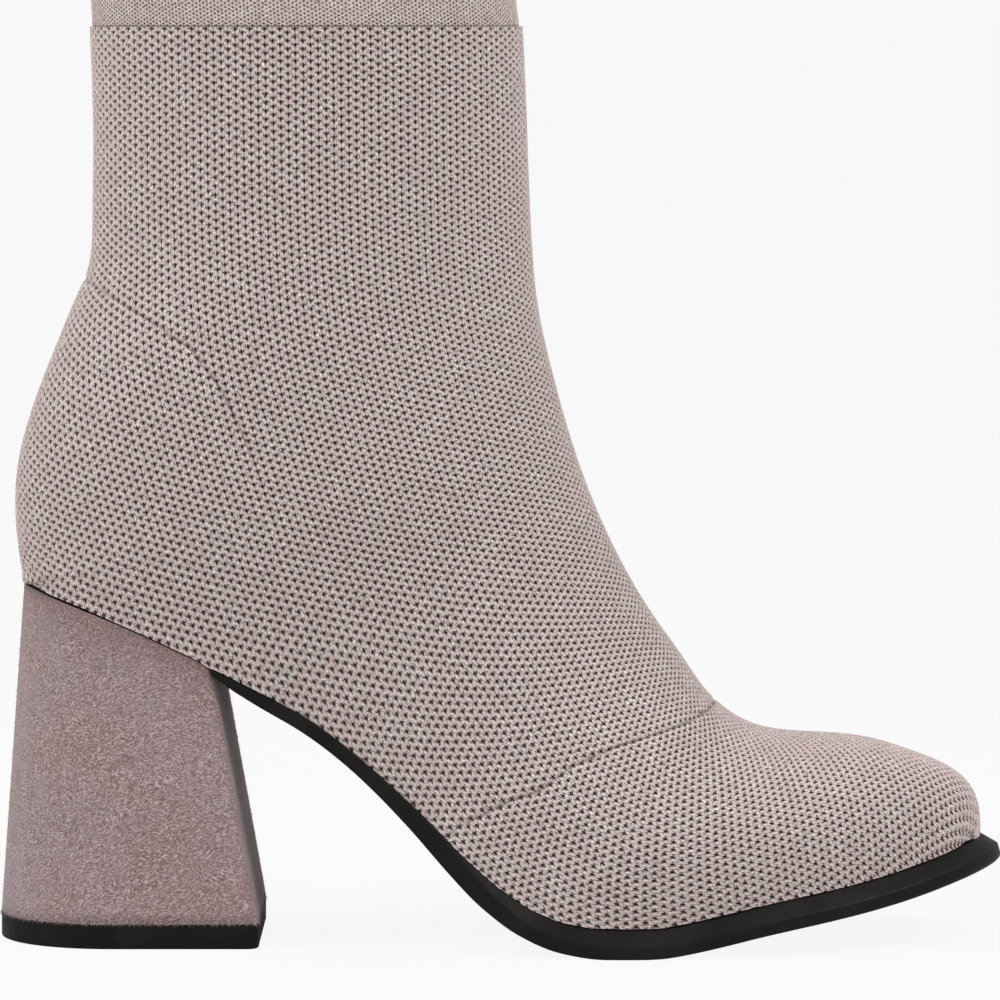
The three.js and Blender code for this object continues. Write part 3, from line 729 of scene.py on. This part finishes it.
SUEDE_MAUVE = rgb(150, 129, 130)
SUEDE_BROWN = rgb(146, 122, 118)
SUEDE_PALE = rgb(188, 168, 170)
SUEDE_DARK = rgb(118, 96, 98)
SUEDE_SHADE = rgb(102, 78, 76)
NAP_SCALE = 3600.0
NAP_SQUEEZE = (0.38, 0.7, 1.0)  # the nap's streaks are longer where this is less
NAP_SWIRL = 110.0
NAP_BEND = 0.007  # metres
NAP_TILT = 24.0  # degrees
NAP_DEPTH = 0.22
SUEDE_PATCH_SCALE = 40.0
BROWN_BAND = (0.42, 0.72)
PALE_NAP_BAND = (0.5, 0.66)
DARK_NAP_BAND = (0.48, 0.32)
SHADE_SHARE = 0.6


def suede_material():
    """Short brushed nap in mauve taupe that lies in swirls, with browner patches and a painted
    shadow under the knit.
    """
    material, sketch, shader = new_material("suede", 0.95, sheen=0.2, specular=0.15)
    place = sketch.place()
    swirl = sketch.add("TexNoise", {"Vector": place, "Scale": NAP_SWIRL, "Detail": 1.0}).outputs[1]
    swirl = sketch.add("VectorMath", {0: swirl, "Scale": NAP_BEND}, operation="SCALE").outputs[0]
    bent = sketch.add("VectorMath", {0: place, 1: swirl}, operation="ADD").outputs[0]
    turned = sketch.add("VectorRotate", {"Vector": bent, "Angle": math.radians(NAP_TILT)},
                        rotation_type="Y_AXIS").outputs[0]
    drawn = sketch.add("VectorMath", {0: turned, 1: NAP_SQUEEZE}, operation="MULTIPLY").outputs[0]
    nap = sketch.noise(drawn, NAP_SCALE, detail=1.0, distortion=0.3)
    patch = sketch.noise(place, SUEDE_PATCH_SCALE, distortion=0.4)
    tone = sketch.mix(sketch.band(patch, *BROWN_BAND), SUEDE_MAUVE, SUEDE_BROWN)
    tone = sketch.mix(sketch.band(nap, *PALE_NAP_BAND), tone, SUEDE_PALE)
    tone = sketch.mix(sketch.band(nap, *DARK_NAP_BAND), tone, SUEDE_DARK)
    # painted shadow of the knit above, by the mesh's shade value
    tone = sketch.mix(sketch.times(sketch.shade(), SHADE_SHARE), tone, SUEDE_SHADE)
    sketch.feed(shader, Base_Color=tone, Normal=sketch.bump(nap, NAP_DEPTH))
    return material


GRAIN_SCALE = 900.0
DUST_SCALE = 60.0
DUST_BAND = (0.4, 0.75)
DUST_GAIN, DUST_LIFT = 2.2, 0.002  # dust's colour against the rubber's
GRAIN_BAND = (0.3, 0.7)
GRAIN_DEPTH = 0.04
SMOOTHER, ROUGHER = 0.06, 0.08  # how far the grain moves the roughness down and up


def dusty_rubber_group():
    """Moulded rubber's grain, and dust that lies on it in clouds."""
    sketch, given, results = new_group(
        "dusty_rubber", {"Place": "Vector", "Rubber": "Color", "Dust": "Color",
                         "Smooth": "Float", "Rough": "Float"},
        {"Color": "Color", "Roughness": "Float", "Grain": "Float"})
    grain = sketch.noise(given["Place"], GRAIN_SCALE, detail=3.0)
    cloud = sketch.band(sketch.noise(given["Place"], DUST_SCALE), *DUST_BAND)
    sketch.feed(results, Color=sketch.mix(cloud, given["Rubber"], given["Dust"]),
                Roughness=sketch.band(grain, *GRAIN_BAND, given["Smooth"], given["Rough"]),
                Grain=grain)
    return sketch.tree


def rubber_material(name, dusty_rubber, tone, roughness):
    """Black rubber, faintly mottled and a little dusty."""
    material, sketch, shader = new_material(name, roughness, specular=0.16)
    dust = tuple(min(1.0, DUST_GAIN * value + DUST_LIFT) for value in tone[:3]) + (1.0,)
    rubber = sketch.group(dusty_rubber, Place=sketch.place(), Rubber=tone, Dust=dust,
                          Smooth=roughness - SMOOTHER, Rough=roughness + ROUGHER)
    sketch.feed(shader, Base_Color=rubber["Color"], Roughness=rubber["Roughness"],
                Normal=sketch.bump(rubber["Grain"], GRAIN_DEPTH))
    return material


WEAVE_SCALE = 1600.0
CLOUD_SCALE = 50.0
WEAVE_BAND = (0.35, 0.65)
WEAVE_DEPTH = 0.12
WEAVE_TINT, CLOUD_TINT = 0.6, 0.4  # how much each says in light or dark


def fine_cloth_group():
    """Fine smooth knit cloth in two close tones."""
    sketch, given, results = new_group(
        "fine_cloth", {"Place": "Vector", "Light": "Color", "Dark": "Color"},
        {"Color": "Color", "Weave": "Float"})
    weave = sketch.noise(given["Place"], WEAVE_SCALE, detail=1.0)
    cloud = sketch.noise(given["Place"], CLOUD_SCALE)
    both = sketch.plus(sketch.times(weave, WEAVE_TINT), cloud, CLOUD_TINT)
    tone = sketch.mix(sketch.band(both, *WEAVE_BAND), given["Dark"], given["Light"])
    sketch.feed(results, Color=tone, Weave=weave)
    return sketch.tree


def cloth_material(name, fine_cloth, light, dark):
    """The cloth of the lining or the insole."""
    material, sketch, shader = new_material(name, 0.9, sheen=0.1)
    cloth = sketch.group(fine_cloth, Place=sketch.place(), Light=light, Dark=dark)
    sketch.feed(shader, Base_Color=cloth["Color"],
                Normal=sketch.bump(cloth["Weave"], WEAVE_DEPTH))
    return material


marled_knit = marled_knit_group(stitch_group())
dusty_rubber = dusty_rubber_group()
fine_cloth = fine_cloth_group()
body_knit = knit_material("body_knit", marled_knit, share=1.0, hole_shade=0.97, bump_depth=0.4)
cuff_knit = knit_material("cuff_knit", marled_knit, FINE_SHARE, hole_shade=0.75, bump_depth=0.2)
suede = suede_material()
sole_rubber = rubber_material("sole_rubber", dusty_rubber, rgb(13, 9, 9), roughness=0.5)
heel_rubber = rubber_material("heel_rubber", dusty_rubber, rgb(14, 10, 10), roughness=0.62)
lining_cloth = cloth_material("lining_cloth", fine_cloth,
                              light=rgb(190, 176, 170), dark=rgb(150, 136, 130))
insole_cloth = cloth_material("insole_cloth", fine_cloth,
                              light=rgb(176, 160, 152), dark=rgb(138, 122, 116))

# ---- The knit skin, in panels that meet along rows of stitches

measured, closed = measure_upper()
skin = knit_skin(measured, closed)
skin_out = normals_of(skin)
skin_away = columns_round(skin)
tip_drop = np.linalg.norm(skin[-1] - skin[-2], axis=1)


def panel_courses(panel):
    """Course of each row of a panel's samples; they lie closer round the toe's tip."""
    count = int(round((panel["stop"] - panel["start"]) * panel["per_course"])) + 1
    courses = np.linspace(panel["start"], panel["stop"], count)
    if panel["stop"] <= LAST_COURSE:
        return courses
    tip_rows = np.linspace(LAST_COURSE, TIP_COURSE, TIP_ROWS + 1)
    return np.concatenate([courses[courses < LAST_COURSE - COURSE_NEAR], tip_rows])


def add_panel(panel):
    """A panel of the shaft or the foot, with each stitch in relief and its seams pressed in."""
    courses = panel_courses(panel)
    rows = (courses - FIRST_COURSE) / COURSE_STEP
    columns = np.linspace(0, COARSE_LAST, 2 * panel["half"] + 1)
    points = resample(skin, rows, columns)
    out = unit(resample(skin_out, rows, columns))
    away = resample(skin_away[..., None], rows, columns)[..., 0]
    numbers = away / COLUMN_PITCH
    course_grid = np.minimum(courses, LAST_COURSE)[:, None] + np.zeros_like(numbers)
    down = np.clip((courses - LAST_COURSE) / COURSE_STEP, 0, 1)[:, None]
    course_grid += down * np.interp(columns, np.arange(len(tip_drop)), tip_drop) / COURSE_HEIGHT
    relief = RELIEF * (stitch_height(numbers, course_grid) - MEAN_HEIGHT) * calm_ends(away)
    seams = both_seams(points)
    relief -= SEAM_DEPTH * seams
    points = points + out * (KNIT_LIFT + relief)[..., None]
    mesh = grid_mesh(panel["name"], points, np.stack([numbers, course_grid], axis=2), seams)
    add_piece(panel["name"], mesh, "knit", body_knit, "upper")


for panel in PANELS:
    add_panel(panel)

# ---- The cuff: fine knit, folded over at the collar and hemmed inside

CUFF_TURN = 1.1  # radius of the fold at the collar
CUFF_HEM = 215.5  # the folded cuff ends at this height inside
CUFF_TUCK = 0.9  # its lower edge lies this far under the shaft's knit
CUFF_UNDER = 1.0  # and this far below the cuff line
CUFF_EASE = 0.2  # it comes out from there this far below to this far above the line
HEM_DROP, HEM_EASE = 0.3, 0.6  # the hem's edge goes down and back out by these
CUFF_FRONT = 94.0
CUFF_LOWEST = 0.7  # the solid is measured from this far above the line
CUFF_HIGHEST = 0.2  # to this far below the fold
CUFF_RINGS = 12
CUFF_ROUND = 960
CUFF_ROWS = dict(outside=60, fold=11, inside=16)
FIRST_OUTSIDE = 2  # the first row that is seen, from which the courses are counted


def cuff_profile():
    """Heights of the cuff's rows and how far each lies in from its outer face."""
    fold_top = COLLAR - CUFF_TURN
    rows = [(CUFF_LINE - CUFF_UNDER, CUFF_TUCK), (CUFF_LINE - CUFF_EASE, CUFF_TUCK / 2)]
    rows += [(z, 0.0) for z in np.linspace(CUFF_LINE + CUFF_EASE, fold_top, CUFF_ROWS["outside"])]
    rows += [(fold_top + CUFF_TURN * math.sin(a), CUFF_TURN * (1 - math.cos(a)))
             for a in np.linspace(0, math.pi, CUFF_ROWS["fold"])[1:]]
    rows += [(z, 2 * CUFF_TURN) for z in np.linspace(fold_top, CUFF_HEM, CUFF_ROWS["inside"])[1:]]
    rows += [(CUFF_HEM - HEM_DROP, 2 * CUFF_TURN - HEM_EASE)]
    return (np.array(column) for column in zip(*rows))


def add_cuff():
    """The cuff, from under the shaft's knit over its fold to the hem inside."""
    levels = np.linspace(CUFF_LINE + CUFF_LOWEST, COLLAR - CUFF_TURN - CUFF_HIGHEST, CUFF_RINGS)
    rings = whole_rows([measure_row(vec(CUFF_FRONT, 0, z), vec(1, 0, 0))[0] for z in levels])
    rings = soften_rows(rings, np.full(CUFF_RINGS, True))
    heights, insets = cuff_profile()
    columns = np.linspace(0, COARSE_LAST, CUFF_ROUND + 1)
    points = resample(rings, (heights - levels[0]) / (levels[1] - levels[0]), columns)
    points[..., 2] = heights[:, None]
    half_up = normals_of(rings)[CUFF_RINGS // 2 - 1]
    points -= unit(spline_rows(half_up, columns) * vec(1, 1, 0)) * insets[:, None, None]
    down = np.concatenate([[0], np.cumsum(np.hypot(np.diff(heights), np.diff(insets)))])
    down = (down - down[FIRST_OUTSIDE])[:, None]
    away = np.broadcast_to(columns_round(points)[FIRST_OUTSIDE], points.shape[:2])
    numbers = away / COLUMN_PITCH
    courses = np.broadcast_to(-down / COURSE_HEIGHT, numbers.shape)
    crowns = stitch_height(numbers / FINE_SHARE, courses / FINE_SHARE) - MEAN_HEIGHT
    relief = FINE_RELIEF * crowns * calm_ends(away) * (down > 0)
    points = points + normals_of(points) * (KNIT_LIFT + relief)[..., None]
    mesh = grid_mesh("cuff_knit", points, np.stack([numbers, courses], axis=2))
    add_piece("cuff_knit", mesh, "knit", cuff_knit, "upper")


add_cuff()

# ---- The inner face of the knit, closed to the outer face along the sole

LINING_START = 1.5  # the skin's row under the hem where it starts
LINING_ROWS = 110


def add_lining():
    """The knit's inner face, at the wall's thickness from the outer one."""
    rows = np.linspace(LINING_START, len(skin) - 1, LINING_ROWS)
    columns = np.arange(COARSE_LAST + 1)
    points = resample(skin - skin_out * KNIT_WALL, rows, columns)
    edge = resample(skin, rows, columns)
    opens = np.interp(rows, np.arange(len(skin)), (~closed).astype(float)) > 0.5
    for column in (0, -1):
        points[:, column] = np.where(opens[:, None], edge[:, column], points[:, column])
    points[-1] = edge[-1]
    add_piece("lining", grid_mesh("lining", points), "knit", lining_cloth, "upper")


add_lining()

# ---- The outsole and the insole: a rim swept round the plan, with ruled faces between its sides

RIM_DEPTH = 5.0  # the sweep's centre lies this far inside the edge
RIM_NARROW = 0.4  # or at this share of a narrow half's width
RIM_SAMPLES = 40
RIM_RAYS = 120
RIM_SPAN = (math.pi / 2, -math.pi / 2)  # from straight up round to straight down
RIM_REACH = 6  # samples
RIM_BLUR = 3.5
RULED_STRIPS = 5  # between the two sides of the top, and of the underside
BACK_TURN_STEPS = 16
TOE_TURN_STEPS = 40
EDGE_NEAR, EDGE_FAR = 0.5, 70.0  # a slab's edge is looked for between these distances
EDGE_HALVINGS = 14


def plan_edge(surface, pivot, out):
    """Distance from a pivot to a slab's edge, seen from above."""
    near, far = EDGE_NEAR, EDGE_FAR
    for _ in range(EDGE_HALVINGS):
        half = (near + far) / 2
        over = hit(surface, pivot + half * out + vec(0, 0, REACH), vec(0, 0, -1)) is not None
        near, far = (half, far) if over else (near, half)
    return near


def plan_middle(surface, x):
    """Where a slab's middle lies across the boot."""
    sides = [plan_edge(surface, vec(x, 0, 0), vec(0, side, 0)) for side in (-1.0, 1.0)]
    return (sides[1] - sides[0]) / 2


def rim_profile(surface, pivot, out, samples):
    """A slab's edge in the upright plane through a pivot, from its top round to its underside."""
    reach = plan_edge(surface, pivot, out)
    centre = pivot + max(reach - RIM_DEPTH, RIM_NARROW * reach) * out
    top = hit(surface, centre + vec(0, 0, REACH), vec(0, 0, -1))
    low = hit(surface, centre - vec(0, 0, REACH), vec(0, 0, 1))
    centre = (top + low) / 2
    points = []
    for angle in np.linspace(*RIM_SPAN, RIM_RAYS):
        ray = math.cos(angle) * out + math.sin(angle) * vec(0, 0, 1)
        points.append(hit(surface, centre + REACH * ray, -ray))
    return evenly(np.array([point for point in points if point is not None]), samples)


def rim_walk(start, front_turn, step, round_back=False):
    """Pivots and directions from the back of a slab, along one side, to its toe."""
    walk = []
    if round_back:
        back_angles = np.linspace(math.pi, math.pi / 2, BACK_TURN_STEPS)[:-1]
        walk += [(start, angle) for angle in back_angles]
    walk += [(x, math.pi / 2) for x in np.arange(start, front_turn, step)]
    walk += [(front_turn, angle) for angle in np.linspace(math.pi / 2, 0, TOE_TURN_STEPS)]
    return walk


def slab_grid(surface, walk, samples):
    """A slab as rows that go round it: outer rim, top, inner rim, underside."""
    halves = []
    for side in (-1.0, 1.0):
        profiles = []
        for x, angle in walk:
            out = vec(math.cos(angle), side * math.sin(angle), 0)
            pivot = vec(x, plan_middle(surface, x), 0)
            profiles.append(rim_profile(surface, pivot, out, samples))
        halves.append(soften(np.array(profiles), RIM_REACH, 0, RIM_BLUR))
    outer, inner = halves
    join = np.linspace(0, 1, RULED_STRIPS + 1)[1:-1, None, None]
    top = outer[:, 0] * (1 - join) + inner[:, 0] * join
    low = inner[:, -1] * (1 - join) + outer[:, -1] * join
    return np.concatenate([outer[:, ::-1], np.moveaxis(top, 0, 1), inner,
                           np.moveaxis(low, 0, 1), outer[:, -1:]], axis=1)


OUTSOLE_START = 21.6
OUTSOLE_TURN = 168.0
OUTSOLE_STEP = 1.5
OUTSOLE_BACK = 0.6  # the sole runs on by this to meet the heel
INSOLE_START = 2.0
INSOLE_TURN = 165.0
INSOLE_STEP = 3.0
INSOLE_SAMPLES = 20

outsole_grid = slab_grid(outsole, rim_walk(OUTSOLE_START, OUTSOLE_TURN, OUTSOLE_STEP), RIM_SAMPLES)
outsole_grid[0, :, 0] -= OUTSOLE_BACK
closed_piece("sole", outsole_grid, "sole_rubber", sole_rubber, "outsole")
insole_walk = rim_walk(INSOLE_START, INSOLE_TURN, INSOLE_STEP, round_back=True)
insole_grid = slab_grid(insole, insole_walk, INSOLE_SAMPLES)
closed_piece("sock_lining", insole_grid, "insole_lining", insole_cloth, "insole")

# ---- The heel, covered in suede

HEEL_TURNS = 300
HEEL_LEVELS = 30
HEEL_CENTRE = -1.5
HEEL_LOW = 6.5  # the lowest ring is measured here
TOP_PIECE_TOP = 6.0  # and drawn down to the rubber's top
HEEL_REACH = 8  # samples
HEEL_BLUR = 1.3
SEAT_CLEAR = 0.06  # the heel's highest ring lies this far under its top
LEVEL_TRIES = 4  # a ring that rises is found by trying again from what was met
TOP_SHADE = 5.0  # painted shadow of the knit above darkens the suede over this


def seat_height(x):
    return np.interp(x, support_x, support_z) - SEAT_CLEAR


def level_ring(surface, level, guess):
    """A ring round the heel at a level that may rise towards its back."""
    points = []
    for angle, point in zip(np.linspace(math.pi, -math.pi, HEEL_TURNS + 1), guess):
        out = vec(math.cos(angle), math.sin(angle), 0)
        for _ in range(LEVEL_TRIES):
            found = hit(surface, vec(HEEL_CENTRE, 0, level(point[0])) + REACH * out, -out)
            point = point if found is None else found
        points.append(point)
    return np.array(points)


def smooth_rings(rings):
    """Takes the facets out of closed rings round the heel and keeps its corners."""
    reach = HEEL_REACH
    wide = np.concatenate([rings[:, -reach - 1:-1], rings, rings[:, 1:reach + 1]], axis=1)
    rings = soften(wide, reach, 1, HEEL_BLUR)[:, reach:-reach]
    rings[:, -1] = rings[:, 0]
    return rings


def measure_heel():
    """Rings round the block heel, from its foot to its seat."""
    rings = []
    guess = np.zeros((HEEL_TURNS + 1, 3))
    for share in np.linspace(0, 1, HEEL_LEVELS):
        guess = level_ring(heel, lambda x: HEEL_LOW + share * (seat_height(x) - HEEL_LOW), guess)
        rings.append(evenly(guess, HEEL_TURNS + 1))
    rings = smooth_rings(np.array(rings))
    rings[0, :, 2] = TOP_PIECE_TOP
    return rings


heel_rings = measure_heel()
# painted shadow: 1 at the heel's top, fading downwards
heel_shade = np.exp((heel_rings[..., 2] - heel_rings[-1, :, 2]) / TOP_SHADE)
closed_piece("block_heel", heel_rings, "suede", suede, "heel", heel_shade)

# ---- Loose hairs of the suede, and more of them over its lower edge

HAIRS = 7000
EDGE_HAIRS = 900
HAIR_SEED = 7
HAIR_WIDTH = 0.05
HAIR_LENGTH = (0.35, 0.85)
EDGE_HAIR_GAIN = 1.5  # longer at the edge
EDGE_HAIR_FALL = -1.6  # down, against the spread below
EDGE_HAIR_SPREAD = 0.5
HAIR_RISE, HAIR_LEAN = 0.35, 0.7  # shares of its length, straight out and aside
HAIR_ROOT = 0.02  # under the suede's face
BARE_LEVELS = 1.2  # levels under the knit without hairs
hair_chance = np.random.default_rng(HAIR_SEED)


def scatter(grid, rows, columns):
    """Points of a grid at pairs of fractional rows and columns."""
    i, j = (np.clip(np.floor(places).astype(int), 0, size - 2)
            for places, size in ((rows, grid.shape[0]), (columns, grid.shape[1])))
    s, t = (rows - i)[:, None], (columns - j)[:, None]
    near = grid[i, j] * (1 - t) + grid[i, j + 1] * t
    return near * (1 - s) + (grid[i + 1, j] * (1 - t) + grid[i + 1, j + 1] * t) * s


def hair_mesh(name, roots, reach):
    """Thin three-sided spikes from their roots."""
    across = HAIR_WIDTH * unit(np.cross(reach, hair_chance.normal(size=reach.shape)))
    other = np.cross(across, unit(reach))
    base = [roots + across, roots - across / 2 + other, roots - across / 2 - other]
    points = np.stack(base + [roots + reach], axis=1).reshape(-1, 3) * MM
    sides = np.array([[0, 1, 3], [1, 2, 3], [2, 0, 3]])
    faces = (np.arange(len(roots))[:, None, None] * 4 + sides).reshape(-1, 3)
    mesh = bpy.data.meshes.new(name)
    mesh.from_pydata(points.tolist(), [], faces.tolist())
    return mesh


def add_hairs():
    """Hairs all over the heel, and hanging ones along its foot."""
    highest = HEEL_LEVELS - BARE_LEVELS
    rows = np.concatenate([hair_chance.uniform(0, highest, HAIRS), np.zeros(EDGE_HAIRS)])
    columns = hair_chance.uniform(0, HEEL_TURNS, len(rows))
    roots = scatter(heel_rings, rows, columns)
    out = scatter(normals_of(heel_rings), rows, columns)
    aside = hair_chance.normal(size=out.shape)
    aside[HAIRS:] = vec(0, 0, EDGE_HAIR_FALL) + EDGE_HAIR_SPREAD * aside[HAIRS:]
    reach = HAIR_RISE * out + HAIR_LEAN * unit(aside)
    reach *= hair_chance.uniform(*HAIR_LENGTH, len(rows))[:, None]
    reach[HAIRS:] *= EDGE_HAIR_GAIN
    hairs = hair_mesh("hairs", roots - HAIR_ROOT * out, reach)
    add_piece("suede_nap", hairs, "suede", suede, "heel")


add_hairs()

# ---- The rubber top piece under the heel: heights and how far its edge is rounded in

TOP_PIECE_EDGE = [(0.0, 0.9), (0.0, 0.45), (0.12, 0.15), (0.4, 0.0), (2.0, 0.0), (4.2, 0.0),
                  (5.7, 0.0), (5.92, 0.1), (5.98, 0.3), (5.98, 0.9)]


def add_heel_lift():
    """The top piece, swept up from the floor round the heel's foot."""
    ring = level_ring(top_piece, lambda x: TOP_PIECE_TOP / 2, np.zeros((HEEL_TURNS + 1, 3)))
    ring = smooth_rings(evenly(ring, HEEL_TURNS + 1)[None])[0]
    along = np.gradient(ring, axis=0)
    along[[0, -1]] = ring[1] - ring[-2]
    out = unit(np.cross(along, vec(0, 0, 1)))
    if out[HEEL_TURNS // 2, 0] < 0:
        out = -out
    points = np.array([ring * vec(1, 1, 0) - inset * out + vec(0, 0, z)
                       for z, inset in TOP_PIECE_EDGE])
    closed_piece("heel_lift", points, "heel_rubber", heel_rubber, "top_piece")


add_heel_lift()

# ---- Camera at the photograph's angle

CAMERA_LENS = 237.9
CAMERA_SENSOR = 36.0
CAMERA_PLACE = (0.0897, -1.6, 0.2235)  # metres
CAMERA_PITCH = 85.8  # degrees from straight down
CAMERA_SIGHT = 1000.0  # metres

camera_data = bpy.data.cameras.new("camera")
camera_data.lens = CAMERA_LENS
camera_data.sensor_width = CAMERA_SENSOR
camera_data.clip_end = CAMERA_SIGHT
camera = bpy.data.objects.new("camera", camera_data)
camera.location = CAMERA_PLACE
camera.rotation_euler = (math.radians(CAMERA_PITCH), 0, 0)
bpy.context.scene.collection.objects.link(camera)
bpy.context.scene.camera = camera

# ---- Floor, sky and lights

FLOOR_SPAN = 400.0  # metres from the middle to an edge
FLOOR_TONE = 0.05
FLOOR_GLOW = 0.906
FLOOR_BOUNCE = 0.78
BACKDROP_GLOW = 0.942  # as the camera sees it
FILL_GLOW = 0.62  # as it lights the boot
WHITE = grey(1.0)
BOOT_MIDDLE = (0.09, 0, 0.1)  # metres; the lights point here
LIGHT_WIDTH = 0.6  # metres


def split_by_ray(sketch, lighting, shown, output):
    """One shader for the light that reaches the boot, and another for what the camera sees."""
    seen = sketch.add("LightPath").outputs["Is Camera Ray"]
    either = sketch.add("MixShader", {0: seen, 1: lighting, 2: shown})
    sketch.tree.links.new(either.outputs[0], output)


def add_floor():
    """A plain pale floor that runs out of sight."""
    mesh = bpy.data.meshes.new("floor")
    corners = [(-FLOOR_SPAN, -FLOOR_SPAN, 0), (FLOOR_SPAN, -FLOOR_SPAN, 0),
               (FLOOR_SPAN, FLOOR_SPAN, 0), (-FLOOR_SPAN, FLOOR_SPAN, 0)]
    mesh.from_pydata(corners, [], [(0, 1, 2, 3)])
    floor = bpy.data.objects.new("floor", mesh)
    bpy.context.scene.collection.objects.link(floor)
    paint, sketch, shader = new_material("floor_paint", 1.0, specular=0.0)
    shader["Base Color"].default_value = grey(FLOOR_TONE)
    shader["Emission Color"].default_value = WHITE
    shader["Emission Strength"].default_value = FLOOR_GLOW
    bounce = sketch.add("BsdfDiffuse", {0: grey(FLOOR_BOUNCE)}).outputs[0]
    nodes = paint.node_tree.nodes
    split_by_ray(sketch, bounce, nodes["Principled BSDF"].outputs[0],
                 nodes["Material Output"].inputs[0])
    mesh.materials.append(paint)


def add_sky():
    """A plain pale backdrop that also fills the shadows."""
    world = bpy.data.worlds.new("studio")
    bpy.context.scene.world = world
    world.use_nodes = True
    nodes = world.node_tree.nodes
    backdrop = nodes["Background"]
    backdrop.inputs["Color"].default_value = WHITE
    backdrop.inputs["Strength"].default_value = BACKDROP_GLOW
    sky = Sketch(world.node_tree)
    fill = sky.add("Background", {0: WHITE, 1: FILL_GLOW}).outputs[0]
    split_by_ray(sky, fill, backdrop.outputs[0], nodes["World Output"].inputs[0])


def add_soft_light(name, place, watts):
    data = bpy.data.lights.new(name, "AREA")
    data.size = LIGHT_WIDTH
    data.energy = watts
    light = bpy.data.objects.new(name, data)
    light.location = place
    aim = Vector(BOOT_MIDDLE) - Vector(place)
    light.rotation_euler = aim.to_track_quat("-Z", "Y").to_euler()
    bpy.context.scene.collection.objects.link(light)


add_floor()
add_sky()
bpy.context.scene.view_settings.view_transform = "Standard"
add_soft_light("left_light", (-0.8, -0.45, 1.15), watts=9.0)
add_soft_light("right_light", (0.95, -0.5, 1.15), watts=8.5)
